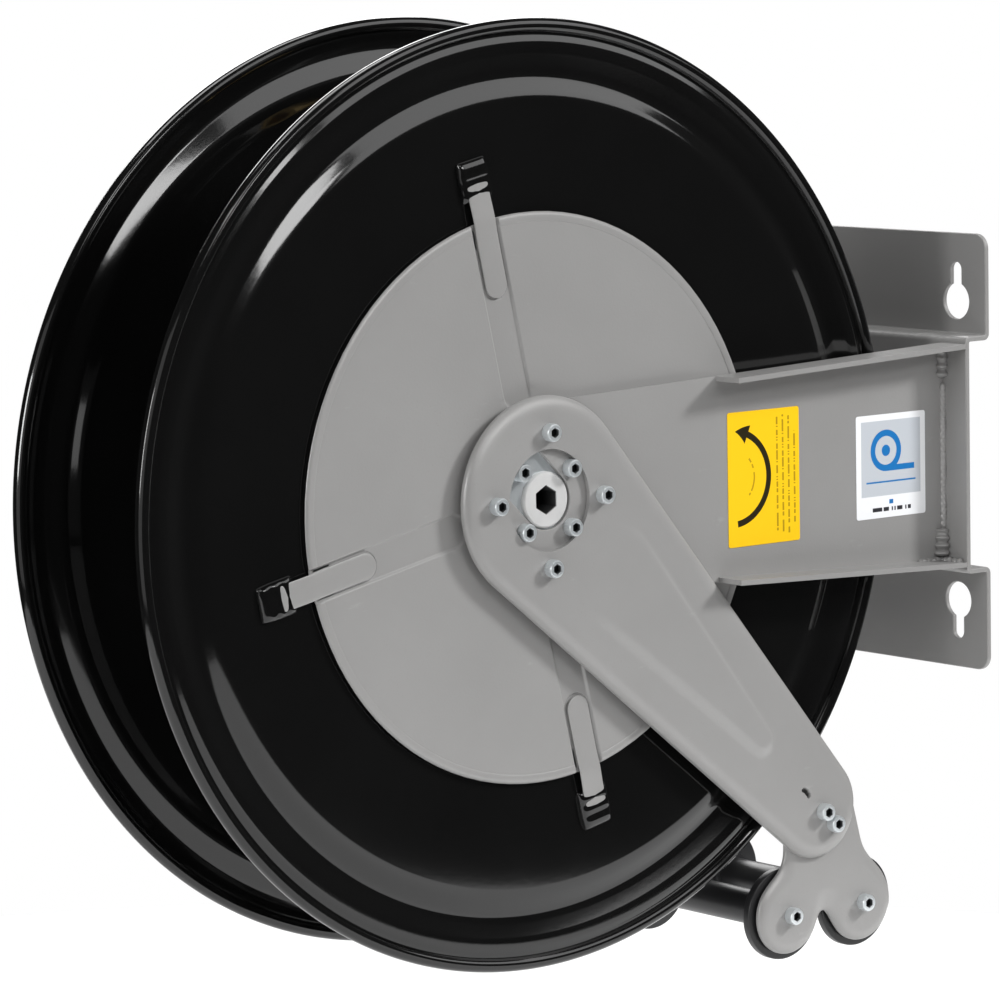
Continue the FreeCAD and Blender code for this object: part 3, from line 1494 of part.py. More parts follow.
def swivel_seals():
    """Two sealing rings, either side of the water chamber."""
    seals = []
    for way in (-1, 1):
        first, last = seal_span(way)
        bore = D.shaft_radius + D.bearing_gap
        seals.append(turned(ring(bore, D.shaft_radius + D.seal_deep, first, last)))
    return group(*seals)


def rivet_drills(start, length, radius=None):
    """Cylinders through the ratchet's rivet circle."""
    places = around(D.rivet_pitch, D.rivet_count, 45)
    return [cylinder(radius or D.rivet_radius, length, (x, start, z)) for x, z in places]


def rear_flange():
    """The rear flange, drilled for the rivets."""
    blank = flange(D.swivel_radius, 1)
    return cut(blank, *rivet_drills(half + disc_in, D.drum_sheet))


def ratchet_wheel():
    """A saw-toothed ring: each tooth ramps up and drops on a radial face."""
    start = half + D.disc_out
    body = body_at(hub_origin)
    blank = sketch_on(body, "XZ_Plane", -(start + D.ratchet_tall))
    add_circle(blank, 0, 0, D.ratchet_tip)
    add_circle(blank, 0, 0, D.ratchet_inner)
    pad(body, blank, D.ratchet_tall)
    gullet = sketch_on(body, "XZ_Plane", -start)
    step = 360 / D.ratchet_teeth
    steep, ramp = D.ratchet_phase, D.ratchet_phase - step
    beyond = D.ratchet_tip + THROUGH

    def at(radius, angle):
        return radius * cosine(angle), radius * sine(angle)

    corners = [
        at(D.ratchet_root, steep),
        at(beyond, steep),
        at(beyond, steep - step / 2),
        at(beyond, ramp + D.tooth_land),
    ]
    add_outline(gullet, corners)
    bite = pocket(body, gullet, D.ratchet_tall)
    polar(body, bite, gullet, D.ratchet_teeth)
    drills = rivet_drills(start, D.ratchet_tall)
    sinks = rivet_drills(start + D.ratchet_tall - D.rivet_head_tall, D.rivet_head_tall, D.rivet_head)
    return cut(body, *drills, *sinks)


def ratchet_rivets():
    """Rivets through ratchet wheel, rear flange and swivel flange."""
    outer = half + D.disc_out + D.ratchet_tall
    inner = half + disc_in - D.swivel_flange_tall
    rivets = []
    for x, z in around(D.rivet_pitch, D.rivet_count, 45):
        head = cylinder(D.rivet_head, D.rivet_head_tall, (x, inner - D.rivet_head_tall, z))
        shank = cylinder(D.rivet_radius, outer - inner, (x, inner, z))
        sunk = cylinder(D.rivet_head, D.rivet_head_tall, (x, outer - D.rivet_head_tall, z))
        rivets.append(fuse(head, shank, sunk))
    return group(*rivets)


def feed_pipe():
    """The pipe from the swivel to the hose outlet."""
    start = D.pipe_start
    length = D.core_radius - D.outlet_tail / 2 - start
    tube = cylinder(D.pipe_radius, length, (hub_x, D.port_y, start), along="z")
    bore = cylinder(D.waterway_radius, length, (hub_x, D.port_y, start), along="z")
    return cut(tube, bore)


def hose_outlet():
    """An elbow through the drum core whose thread points along the winding."""
    start = D.core_radius - D.outlet_tail
    axis = D.core_radius + D.outlet_out
    stem = cylinder(D.outlet_radius, axis - start, (hub_x, D.port_y, start), along="z")
    knee = doc.addObject("Part::Sphere", "knee")
    bind(knee, "Radius", D.outlet_radius)
    move(knee, (hub_x, D.port_y, axis))
    barrel_start = hub_x - D.outlet_long
    barrel = cylinder(D.outlet_radius, D.outlet_long, (barrel_start, D.port_y, axis), along="x")
    socket_long = D.outlet_tail / 2
    socket = cylinder(D.pipe_radius, socket_long, (hub_x, D.port_y, start), along="z")
    rise = cylinder(D.waterway_radius, axis - start, (hub_x, D.port_y, start), along="z")
    run = cylinder(D.waterway_radius, D.outlet_long, (barrel_start, D.port_y, axis), along="x")
    thread = cylinder(D.thread_bore, D.thread_depth, (barrel_start, D.port_y, axis), along="x")
    return cut(fuse(stem, knee, barrel), socket, rise, run, thread)


def build_drum():
    """Every piece that turns with the drum."""
    node("front_flange", flange(D.case_radius, -1))
    node("rear_flange", rear_flange())
    node("drum_core", drum_core())
    node("spring_case", spring_case())
    node("spring_case_cover", spring_case_cover())
    node("cover_clips", cover_clips())
    node("clip_keepers", clip_keepers())
    node("power_spring", power_spring())
    node("front_bush", front_bush())
    bore = D.shaft_radius + D.bearing_gap
    end = half + disc_in
    rear = ring(bore, bore + D.bush_wall, end - D.rear_bush_long, end)
    node("rear_bush", turned(rear))
    node("swivel_body", swivel_body())
    node("swivel_seals", swivel_seals())
    node("feed_pipe", feed_pipe())
    node("hose_outlet", hose_outlet())
    node("ratchet_wheel", ratchet_wheel())
    node("ratchet_rivets", ratchet_rivets())


# ------------------------------------------------------------------ pawl


def build_pawl():
    """The pawl, lifted clear of the ratchet wheel."""
    turn = Rotation(Vector(0, 1, 0), -float(D.pawl_rest))
    body = body_at(pawl_place(0), turn)
    start = half + D.pawl_out
    arm = sketch_on(body, "XZ_Plane", -(start + D.pawl_sheet))
    boss = D.pawl_boss
    nose, tall = D.pawl_long, D.pawl_nose_tall
    shapes = [
        (0, -boss),
        (D.pawl_waist, -D.pawl_belly),
        (nose - tall, -D.pawl_belly),
        (nose, -tall),
        (nose, 0),
        (nose - D.pawl_nose_long, 0),
        (nose - D.pawl_notch, -D.tooth_tall),
        (D.pawl_waist, -D.pawl_crest),
        (boss, boss / 2),
        (0, boss),
    ]
    add_outline(arm, shapes)
    pad(body, arm, D.pawl_sheet)
    round_end = sketch_on(body, "XZ_Plane", -(start + D.pawl_sheet))
    add_circle(round_end, 0, 0, boss)
    pad(body, round_end, D.pawl_sheet)
    hole = sketch_on(body, "XZ_Plane", -start)
    add_circle(hole, 0, 0, D.pin_radius + D.pin_gap)
    pocket(body, hole, D.pawl_sheet)
    node("pawl", body)


# ------------------------------------------------------ check and write


def check_document():
    """Stop if any object failed, or any piece isn't a sound shape."""
    doc.recompute()
    failed = []
    for thing in doc.Objects:
        if {"Invalid", "Error"} & set(thing.State):
            failed.append(f"{thing.Name} ({thing.Label}): {thing.State}")
    for label_text, thing in NODES.items():
        shape = thing.Shape
        if shape.isNull() or not shape.isValid() or not shape.Solids:
            failed.append(f"{label_text}: not a sound solid")
        if not re.fullmatch(r"[a-z0-9_]{1,59}", label_text):
            failed.append(f"{label_text}: not a file name")
    if failed:
        raise RuntimeError("\n".join(failed))


def write_parts():
    """Write each piece to a file of its own."""
    os.makedirs("parts", exist_ok=True)
    for label_text, thing in NODES.items():
        thing.Shape.exportStep(os.path.join("parts", f"{label_text}.step"))


build_frame()
build_rollers()
build_drum()
build_pawl()
check_document()
write_parts()
print(len(NODES), "pieces written")
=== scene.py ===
"""A wall-mounted, spring-rewind hose reel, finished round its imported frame.

Lengths in the piece functions are millimetres in the frame's own directions:
X into the wall, Y to the rear, Z up.  "Out" is the distance outward from the
plane of a drum rim, so the front of the reel is at Y = -(HALF + out).
"""

import json
import math

import bmesh
import bpy
import numpy as np
from mathutils import Matrix, Vector


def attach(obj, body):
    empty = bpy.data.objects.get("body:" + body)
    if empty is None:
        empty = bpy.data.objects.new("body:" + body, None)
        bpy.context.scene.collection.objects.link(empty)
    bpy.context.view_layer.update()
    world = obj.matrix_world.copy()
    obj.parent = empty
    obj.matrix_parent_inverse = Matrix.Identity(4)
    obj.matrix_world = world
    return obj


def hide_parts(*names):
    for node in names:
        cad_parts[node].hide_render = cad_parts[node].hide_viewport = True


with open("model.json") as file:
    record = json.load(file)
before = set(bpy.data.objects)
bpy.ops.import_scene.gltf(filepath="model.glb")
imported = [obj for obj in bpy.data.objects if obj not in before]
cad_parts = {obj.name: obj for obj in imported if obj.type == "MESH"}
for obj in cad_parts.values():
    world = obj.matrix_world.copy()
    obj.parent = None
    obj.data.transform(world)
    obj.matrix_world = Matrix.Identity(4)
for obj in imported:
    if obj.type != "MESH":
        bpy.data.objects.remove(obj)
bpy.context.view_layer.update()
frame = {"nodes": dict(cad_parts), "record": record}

MM = 0.001
HUB_X = -330.0
HALF = 59.25
FRONT, REAR = -1, 1
NODES = frame["nodes"]

# ------------------------------------------------------------ node helpers


def add(tree, kind, values=None, links=None, **settings):
    """One shader node with its settings, its plain values and its incoming links."""
    made = tree.nodes.new("ShaderNode" + kind)
    for key, value in settings.items():
        setattr(made, key, value)
    for key, value in (values or {}).items():
        made.inputs[key].default_value = value
    for key, source in (links or {}).items():
        tree.links.new(source, made.inputs[key])
    return made


def sum_up(tree, operation, *terms, clamp=False):
    """A Math node over sockets or plain numbers."""
    made = tree.nodes.new("ShaderNodeMath")
    made.operation = operation
    made.use_clamp = clamp
    for i, term in enumerate(terms):
        if isinstance(term, (int, float)):
            made.inputs[i].default_value = term
        else:
            tree.links.new(term, made.inputs[i])
    return made.outputs[0]


def distance(tree, across, up):
    """The distance of a point from an axis: the root of the sum of the two squares."""
    squares = sum_up(
        tree, "ADD", sum_up(tree, "MULTIPLY", across, across), sum_up(tree, "MULTIPLY", up, up)
    )
    return sum_up(tree, "SQRT", squares)


def within(tree, value, low, high):
    """1 where a value lies between two numbers, else 0."""
    above = sum_up(tree, "GREATER_THAN", value, low)
    below = sum_up(tree, "LESS_THAN", value, high)
    return sum_up(tree, "MULTIPLY", above, below)


def blend_of(tree, mask, low, high):
    """A colour between two, by a mask."""
    made = add(tree, "Mix", data_type="RGBA")
    made.inputs["A"].default_value = (*low, 1) if isinstance(low, tuple) else (0, 0, 0, 1)
    made.inputs["B"].default_value = (*high, 1) if isinstance(high, tuple) else (0, 0, 0, 1)
    if not isinstance(low, tuple):
        tree.links.new(low, made.inputs["A"])
    if not isinstance(high, tuple):
        tree.links.new(high, made.inputs["B"])
    tree.links.new(mask, made.inputs["Factor"])
    return made.outputs["Result"]


def span(tree, value, low, high):
    """A 0 to 1 value spread between two numbers."""
    made = add(tree, "MapRange", values={"To Min": low, "To Max": high}, links={"Value": value})
    return made.outputs["Result"]


def new_group(name, inputs, outputs):
    """A shader node group with named number inputs and named number outputs."""
    tree = bpy.data.node_groups.new(name, "ShaderNodeTree")
    for label, value in inputs:
        socket = tree.interface.new_socket(label, in_out="INPUT", socket_type="NodeSocketFloat")
        socket.default_value = value
    for label in outputs:
        tree.interface.new_socket(label, in_out="OUTPUT", socket_type="NodeSocketFloat")
    source = tree.nodes.new("NodeGroupInput")
    result = tree.nodes.new("NodeGroupOutput")
    return tree, source.outputs, result.inputs


def build_skin():
    """Surface unevenness: a fine pebble, a broad mottle and scattered specks."""
    tree, given, result = new_group(
        "surface_skin",
        [("Fine", 900.0), ("Broad", 12.0), ("Specks", 350.0)],
        ["Height", "Tone", "Speck"],
    )
    place = add(tree, "TexCoord").outputs["Object"]
    fine = add(
        tree, "TexNoise", {"Detail": 3.0, "Roughness": 0.6}, {"Vector": place, "Scale": given["Fine"]}
    )
    broad = add(
        tree, "TexNoise", {"Detail": 4.0, "Roughness": 0.55}, {"Vector": place, "Scale": given["Broad"]}
    )
    cells = add(
        tree, "TexVoronoi", {"Randomness": 1.0}, {"Vector": place, "Scale": given["Specks"]}
    )
    near = sum_up(tree, "LESS_THAN", cells.outputs["Distance"], 0.16)
    rare = sum_up(tree, "GREATER_THAN", broad.outputs["Fac"], 0.56)
    tree.links.new(fine.outputs["Fac"], result["Height"])
    tree.links.new(broad.outputs["Fac"], result["Tone"])
    tree.links.new(sum_up(tree, "MULTIPLY", near, rare), result["Speck"])
    return tree


def build_turning():
    """Fine rings about an axis along Y, as a lathe leaves them, slightly broken up."""
    tree, given, result = new_group(
        "turning_marks", [("X", 0.0), ("Z", 0.0), ("Pitch", 0.0004)], ["Height"]
    )
    place = add(tree, "TexCoord").outputs["Object"]
    parts = add(tree, "SeparateXYZ", links={"Vector": place}).outputs
    across = sum_up(tree, "SUBTRACT", parts["X"], given["X"])
    up = sum_up(tree, "SUBTRACT", parts["Z"], given["Z"])
    radius = distance(tree, across, up)
    along = sum_up(tree, "ADD", radius, parts["Y"])
    turn = sum_up(tree, "DIVIDE", sum_up(tree, "MULTIPLY", along, 2 * math.pi), given["Pitch"])
    wave = sum_up(tree, "SINE", turn)
    noise = add(tree, "TexNoise", {"Scale": 60.0, "Detail": 2.0}, {"Vector": place}).outputs["Fac"]
    tree.links.new(sum_up(tree, "MULTIPLY", wave, noise), result["Height"])
    return tree


def build_rub():
    """Handling wear: streaked patches where a coat is rubbed brighter."""
    tree, given, result = new_group("rubbed_patches", [("Spread", 0.62), ("Scale", 40.0)], ["Mask"])
    place = add(tree, "TexCoord").outputs["Object"]
    stretched = add(tree, "Mapping", links={"Vector": place})
    stretched.inputs["Scale"].default_value = (1.0, 0.6, 2.5)
    noise = add(
        tree, "TexNoise", {"Detail": 6.0, "Roughness": 0.7},
        {"Vector": stretched.outputs[0], "Scale": given["Scale"]},
    )
    over = sum_up(tree, "SUBTRACT", noise.outputs["Fac"], given["Spread"])
    tree.links.new(sum_up(tree, "MULTIPLY", over, 6.0, clamp=True), result["Mask"])
    return tree


SKIN, TURNING, RUB = build_skin(), build_turning(), build_rub()


def placed(tree, group, **values):
    """A node group in a material, with its own values."""
    made = tree.nodes.new("ShaderNodeGroup")
    made.node_tree = group
    for key, value in values.items():
        made.inputs[key].default_value = value
    return made.outputs


def finish_named(name, **plain):
    """An empty material: its tree and its Principled shader with plain values set."""
    material = bpy.data.materials.new(name)
    material.use_nodes = True
    tree = material.node_tree
    shader = tree.nodes["Principled BSDF"]
    for key, value in plain.items():
        shader.inputs[key.replace("_", " ")].default_value = value
    return material, tree, shader


def dent(tree, shader, height, depth):
    """Feed a height in metres times depth into the shader's normal."""
    bump = add(tree, "Bump", {"Strength": 1.0, "Distance": depth}, {"Height": height})
    tree.links.new(bump.outputs["Normal"], shader.inputs["Normal"])


def shaded(tree, colour, dark):
    """Darken a colour by the mesh's own per-point values: painted shade in gaps, slots and sockets."""
    # The point attribute holds painted shade: where it is 1 the colour goes to the given shade colour.
    painted_shade = add(tree, "Attribute", attribute_name="painted_shade").outputs["Fac"]
    return blend_of(tree, painted_shade, colour, dark)


def coated(name, dark, light, rough, peel, depth, speck=None, rub=None, **plain):
    """A paint, plastic or rubber: two tones, uneven gloss and a pebbled skin."""
    material, tree, shader = finish_named(name, **plain)
    skin = placed(tree, SKIN, Fine=peel)
    colour = blend_of(tree, skin["Tone"], dark, light)
    if speck:
        colour = blend_of(tree, skin["Speck"], colour, speck)
    if rub:
        worn = placed(tree, RUB, Spread=0.66)
        colour = blend_of(tree, worn["Mask"], colour, rub)
    # The near-black colour is painted shade, laid where a piece's points carry it.
    tree.links.new(shaded(tree, colour, (0.012, 0.012, 0.012)), shader.inputs["Base Color"])
    tree.links.new(span(tree, skin["Tone"], *rough), shader.inputs["Roughness"])
    dent(tree, shader, skin["Height"], depth)
    return material


def bare_metal(name, dark, light, rough, pitch=0.0005, depth=0.00002, centre=(0.0, 0.0), **plain):
    """A turned or plated metal: two tones, rings or grain and uneven gloss."""
    material, tree, shader = finish_named(name, **plain)
    skin = placed(tree, SKIN, Fine=1500.0, Broad=45.0)
    colour = blend_of(tree, skin["Tone"], dark, light)
    # The near-black colour is painted shade, laid where a piece's points carry it.
    tree.links.new(shaded(tree, colour, (0.01, 0.011, 0.012)), shader.inputs["Base Color"])
    tree.links.new(span(tree, skin["Tone"], *rough), shader.inputs["Roughness"])
    rings = placed(tree, TURNING, X=centre[0], Z=centre[1], Pitch=pitch)
    height = sum_up(tree, "ADD", rings["Height"], sum_up(tree, "MULTIPLY", skin["Height"], 0.6))
    dent(tree, shader, height, depth)
    return material


# ---------------------------------------------------------------- finishes

HUB = (HUB_X * MM, 0.0)

GREY_PAINT = coated(
    "grey_paint", (0.295, 0.291, 0.287), (0.338, 0.334, 0.330), (0.30, 0.42), 800.0, 0.00006,
    speck=(0.31, 0.305, 0.30), rub=(0.38, 0.376, 0.372), Metallic=0.2,
)
BLACK_GLOSS = coated(
    "black_gloss_paint", (0.0025, 0.0025, 0.0025), (0.005, 0.005, 0.005), (0.07, 0.13), 260.0, 0.000015,
    Coat_Weight=0.3, Coat_Roughness=0.05,
)
BLACK_PLASTIC = coated(
    "black_plastic", (0.010, 0.010, 0.011), (0.018, 0.018, 0.019), (0.30, 0.42), 1500.0, 0.00003,
)
RUBBER = coated(
    "seal_rubber", (0.012, 0.012, 0.012), (0.022, 0.022, 0.021), (0.6, 0.8), 900.0, 0.00006,
)
ZINC = bare_metal(
    "zinc_plate", (0.58, 0.63, 0.66), (0.86, 0.89, 0.90), (0.24, 0.40), Metallic=0.7
)
SHAFT_STEEL = bare_metal(
    "shaft_steel", (0.60, 0.60, 0.60), (0.78, 0.78, 0.77), (0.40, 0.55), pitch=0.0006, centre=HUB,
    Metallic=0.35,
)
DARK_STEEL = bare_metal(
    "dark_steel", (0.10, 0.10, 0.105), (0.19, 0.19, 0.20), (0.35, 0.55), Metallic=0.9
)
SPRING_STEEL = bare_metal(
    "spring_steel", (0.08, 0.10, 0.16), (0.18, 0.20, 0.26), (0.25, 0.4), Metallic=0.9
)
BRASS = bare_metal(
    "brass", (0.55, 0.38, 0.14), (0.74, 0.55, 0.24), (0.22, 0.38), centre=HUB, Metallic=0.9
)
BRONZE = bare_metal(
    "bearing_bronze", (0.38, 0.22, 0.10), (0.52, 0.32, 0.16), (0.4, 0.6), centre=HUB, Metallic=0.9
)


def build_label(name, paint):
    """A printed film: paint(tree, x, z) gives its colour, x and z in mm from the hub."""
    material, tree, shader = finish_named(name, Roughness=0.32, Coat_Weight=0.25, Coat_Roughness=0.12)
    place = add(tree, "TexCoord").outputs["Object"]
    parts = add(tree, "SeparateXYZ", links={"Vector": place}).outputs
    x = sum_up(tree, "MULTIPLY_ADD", parts["X"], 1000.0, -HUB_X)
    z = sum_up(tree, "MULTIPLY", parts["Z"], 1000.0)
    tree.links.new(paint(tree, x, z), shader.inputs["Base Color"])
    skin = placed(tree, SKIN, Fine=500.0)
    dent(tree, shader, skin["Height"], 0.00002)
    return material


def dashes(tree, place, step, share):
    """1 along a line except at irregular gaps, so that bars look like short words."""
    cell = sum_up(tree, "FLOOR", sum_up(tree, "DIVIDE", place, step))
    noise = add(tree, "TexWhiteNoise", links={"W": cell}, noise_dimensions="1D").outputs["Value"]
    return sum_up(tree, "LESS_THAN", noise, share)


# Columns of fine print on the yellow label: left edge, foot and head, in mm from the hub.
PRINT_COLUMNS = (
    (175.5, -34.0, 33.0), (180.0, -35.0, 34.0), (184.5, -36.0, 35.0), (189.0, -30.0, 24.0),
)
LABEL_BLUE = (0.012, 0.16, 0.44)


def turn_label(tree, x, z):
    """A curved arrow that shows which way the drum turns, beside columns of fine print."""
    dx, dz = sum_up(tree, "SUBTRACT", x, 142.3), sum_up(tree, "ADD", z, 0.5)
    radius = distance(tree, dx, dz)
    turn = sum_up(tree, "MULTIPLY", sum_up(tree, "ARCTAN2", dz, dx), 180 / math.pi)
    band = sum_up(tree, "MULTIPLY", within(tree, radius, 25.3, 29.1), within(tree, turn, -84.0, 68.0))
    off = sum_up(tree, "ABSOLUTE", sum_up(tree, "SUBTRACT", radius, 27.2))
    allowed = sum_up(tree, "MULTIPLY", sum_up(tree, "SUBTRACT", 87.0, turn), 0.27)
    head = sum_up(tree, "LESS_THAN", off, allowed)
    head = sum_up(tree, "MULTIPLY", head, within(tree, turn, 66.0, 87.0))
    ink = sum_up(tree, "MAXIMUM", band, head)
    for column, low, high in PRINT_COLUMNS:
        bar = within(tree, x, column, column + 1.4)
        bar = sum_up(tree, "MULTIPLY", bar, within(tree, z, low, high))
        bar = sum_up(tree, "MULTIPLY", bar, dashes(tree, sum_up(tree, "ADD", z, column), 0.8, 0.66))
        ink = sum_up(tree, "MAXIMUM", ink, sum_up(tree, "MULTIPLY", bar, 0.55))
    note = sum_up(tree, "MULTIPLY", within(tree, radius, 15.4, 16.6), within(tree, turn, -42.0, 42.0))
    note = sum_up(tree, "MULTIPLY", note, dashes(tree, turn, 4.5, 0.7))
    ink = sum_up(tree, "MAXIMUM", ink, sum_up(tree, "MULTIPLY", note, 0.5))
    return blend_of(tree, ink, (0.90, 0.55, 0.008), (0.02, 0.016, 0.006))


def rating_label(tree, x, z):
    """A white plate with a grey field, a plain blue drum sign, a rule and small marks."""
    field = sum_up(tree, "MULTIPLY", within(tree, x, 243.0, 291.0), within(tree, z, -21.0, 24.0))
    colour = blend_of(tree, field, (0.82, 0.83, 0.85), (0.50, 0.53, 0.57))
    dx, dz = sum_up(tree, "SUBTRACT", x, 263.0), sum_up(tree, "SUBTRACT", z, 6.0)
    radius = distance(tree, dx, dz)
    sign = sum_up(tree, "MAXIMUM", within(tree, radius, 8.6, 12.4), within(tree, radius, -1.0, 3.4))
    tail = sum_up(tree, "MULTIPLY", within(tree, x, 263.0, 286.0), within(tree, z, -6.4, -2.9))
    sign = sum_up(tree, "MAXIMUM", sign, tail)
    colour = blend_of(tree, sign, colour, LABEL_BLUE)
    rule = sum_up(tree, "MULTIPLY", within(tree, x, 247.0, 287.0), within(tree, z, -13.2, -12.2))
    colour = blend_of(tree, rule, colour, LABEL_BLUE)
    marks = sum_up(tree, "MULTIPLY", within(tree, x, 251.0, 283.0), within(tree, z, -30.4, -28.0))
    marks = sum_up(tree, "MULTIPLY", marks, dashes(tree, x, 1.1, 0.68))
    colour = blend_of(tree, marks, colour, (0.03, 0.03, 0.035))
    dot = sum_up(tree, "MULTIPLY", within(tree, x, 265.4, 268.6), within(tree, z, -26.2, -23.6))
    return blend_of(tree, dot, colour, LABEL_BLUE)


YELLOW_LABEL = build_label("yellow_label", turn_label)
WHITE_LABEL = build_label("white_label", rating_label)

FINISHES = {
    "grey_paint": GREY_PAINT,
    "black_gloss_paint": BLACK_GLOSS,
    "zinc_plate": ZINC,
    "shaft_steel": SHAFT_STEEL,
    "dark_steel": DARK_STEEL,
    "spring_steel": SPRING_STEEL,
    "brass": BRASS,
    "bearing_bronze": BRONZE,
    "seal_rubber": RUBBER,
    "black_plastic": BLACK_PLASTIC,
    "yellow_label": YELLOW_LABEL,
    "white_label": WHITE_LABEL,
}


def dress_frame():
    """Give every carried-over solid the finish of its own material slot."""
    for item in frame["record"]["subparts"]:
        shown = NODES[item["node"]]
        for place in shown.material_slots:
            place.material = FINISHES[item["material_slot"]]


# ------------------------------------------------------------ mesh helpers


def grid_faces(rows, columns, wrap_rows=False, wrap_columns=False):
    """Four-sided faces between neighbours in a grid of points; a wrapped way joins its ends."""
    index = np.arange(rows * columns).reshape(rows, columns)
    if wrap_rows:
        index = np.vstack([index, index[:1]])
    if wrap_columns:
        index = np.hstack([index, index[:, :1]])
    corners = (index[:-1, :-1], index[1:, :-1], index[1:, 1:], index[:-1, 1:])
    return np.stack(corners, axis=-1).reshape(-1, 4)


def piece(name, grids, slot, body, stands_for=(), sharp=35.0, painted_shade=None, drop=None):
    """A piece made of one or more grids: (points, wrap rows, wrap columns), in millimetres.

    Doubled points are merged, faces are turned outward and shading is smooth
    up to the given angle.  The shade values are a darkness per point, painted
    shade for gaps, slots and sockets; faces whose four points are all marked in drop are left out.
    """
    points, faces, count = [], [], 0
    for grid, wrap_rows, wrap_columns in grids:
        rows, columns = grid.shape[:2]
        faces.append(grid_faces(rows, columns, wrap_rows, wrap_columns) + count)
        points.append(grid.reshape(-1, 3))
        count += rows * columns
    points, faces = np.concatenate(points), np.concatenate(faces)
    if drop is not None:
        faces = faces[~drop.reshape(-1)[faces].all(axis=1)]
    mesh = bpy.data.meshes.new(name)
    mesh.from_pydata((points * MM).tolist(), [], faces.tolist())
    # Per-point painted shade, stored for the finishes to darken their colour by.
    if painted_shade is not None:
        layer = mesh.attributes.new("painted_shade", "FLOAT", "POINT")
        dark = np.concatenate([part.reshape(-1) for part in painted_shade])
        layer.data.foreach_set("value", dark.astype(np.float32))
    return settle(mesh, name, slot, body, stands_for, sharp)


def settle(mesh, name, slot, body, stands_for=(), sharp=35.0, clean=True):
    """Clean a mesh, shade it and make it a piece that rides on a body."""
    if clean:
        work = bmesh.new()
        work.from_mesh(mesh)
        bmesh.ops.remove_doubles(work, verts=work.verts, dist=2e-6)
        bmesh.ops.dissolve_degenerate(work, edges=work.edges, dist=1e-7)
        bmesh.ops.recalc_face_normals(work, faces=work.faces)
        work.to_mesh(mesh)
        work.free()
    mesh.polygons.foreach_set("use_smooth", np.ones(len(mesh.polygons), dtype=bool))
    mesh.set_sharp_from_angle(angle=math.radians(sharp))
    mesh.materials.append(FINISHES[slot])
    made = bpy.data.objects.new(name, mesh)
    bpy.context.scene.collection.objects.link(made)
    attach(made, body)
    if stands_for:
        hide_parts(*stands_for)
    return made


def rounded(outline, radius, steps=4):
    """A closed outline with each corner replaced by a quadratic curve.

    The curve starts and ends one radius from the corner, or at a third of a
    side where the side is short: (1-t)^2 start + 2t(1-t) corner + t^2 end.
    Corners on the axis stay as they are.
    """
    corner = np.asarray(outline, float)
    back, ahead = np.roll(corner, 1, axis=0) - corner, np.roll(corner, -1, axis=0) - corner
    back_long = np.linalg.norm(back, axis=1)
    ahead_long = np.linalg.norm(ahead, axis=1)
    reach = np.broadcast_to(np.asarray(radius, float), back_long.shape)
    reach = np.minimum(reach, np.minimum(back_long, ahead_long) / 3)
    reach = np.where(corner[:, 0] < 1e-6, 0, reach)[:, None]
    start = corner + back / back_long[:, None] * reach
    end = corner + ahead / ahead_long[:, None] * reach
    t = np.linspace(0, 1, steps + 1)[None, :, None]
    curve = (1 - t) ** 2 * start[:, None] + 2 * t * (1 - t) * corner[:, None] + t**2 * end[:, None]
    return curve.reshape(-1, 2)


def turned(outline, centre=(HUB_X, 0.0), columns=144, radius=0.4, steps=3):
    """An outline of radius and Y carried round an axis along Y.

    X = centre X + radius cos(turn), Z = centre Z + radius sin(turn).
    """
    profile = rounded(outline, radius, steps)
    turn = np.linspace(0, 2 * np.pi, columns, endpoint=False)
    out = profile[:, :1]
    x = centre[0] + out * np.cos(turn)
    z = centre[1] + out * np.sin(turn)
    y = np.broadcast_to(profile[:, 1:], x.shape)
    return np.stack([x, y, z], axis=-1), True, True


# -------------------------------------------------------------------- drum

SHEET = 1.5
DISC_OUT = 2.0
RIM_RADIUS, ROLL = 269.9, 4.0
COVER_OUT = 5.0
COVER_RADIUS = 162.0
FLUTE_DEEP = 1.2
CLIP_TURNS = [90 - 12.3 + i * 90 for i in range(4)]


def flange(name, side, hole):
    """One drum flange: its pressed outline, with the rolled rim as an arc, turned about the hub.

    Out is constant on the disc, drops 5 mm and rises again across the groove,
    steps down beyond the ridge and ends in a circle of the roll's radius.
    """
    face = np.array([
        (hole, DISC_OUT), (226.5, DISC_OUT), (239, DISC_OUT - 5), (251.5, DISC_OUT),
        (256.5, DISC_OUT), (260.5, SHEET / 2), (262.07, SHEET / 2),
    ])
    soft = [0.4, 5, 5, 2.5, 1.8, 1, 0.2]
    turn = np.radians(np.linspace(166, -166, 25))
    rim = np.stack([RIM_RADIUS - ROLL + ROLL * np.cos(turn), ROLL * np.sin(turn)], axis=-1)
    back = face[::-1] - (0, SHEET)
    outline = np.concatenate([face, rim, back])
    radii = np.concatenate([soft, np.full(len(rim), 0.2), soft[::-1]])
    outline[:, 1] = side * (HALF + outline[:, 1])
    grid = turned(outline, columns=360, radius=radii, steps=5)
    return piece(name, [grid], "black_gloss_paint", "drum", [name.replace("_pressing", "")])


def drum_core():
    """The winding cylinder, a plain turned tube."""
    end = HALF + 0.5
    outline = [(163.5, -end), (165, -end), (165, end), (163.5, end)]
    tube = turned(outline, columns=256)
    return piece("winding_tube", [tube], "black_gloss_paint", "drum", ["drum_core"])


def fade(value, width):
    """1 well inside, 0 well outside, smooth across a width about zero distance."""
    t = np.clip(0.5 - value / width, 0, 1)
    return t * t * (3 - 2 * t)


def clip_columns():
    """Turns round the cover, crowded near the four flutes where the edges are."""
    close = np.concatenate([np.linspace(-9, 9, 91), np.linspace(9, 81, 20)[1:-1]])
    return np.radians(np.concatenate([close - turn for turn in CLIP_TURNS[::-1]]))


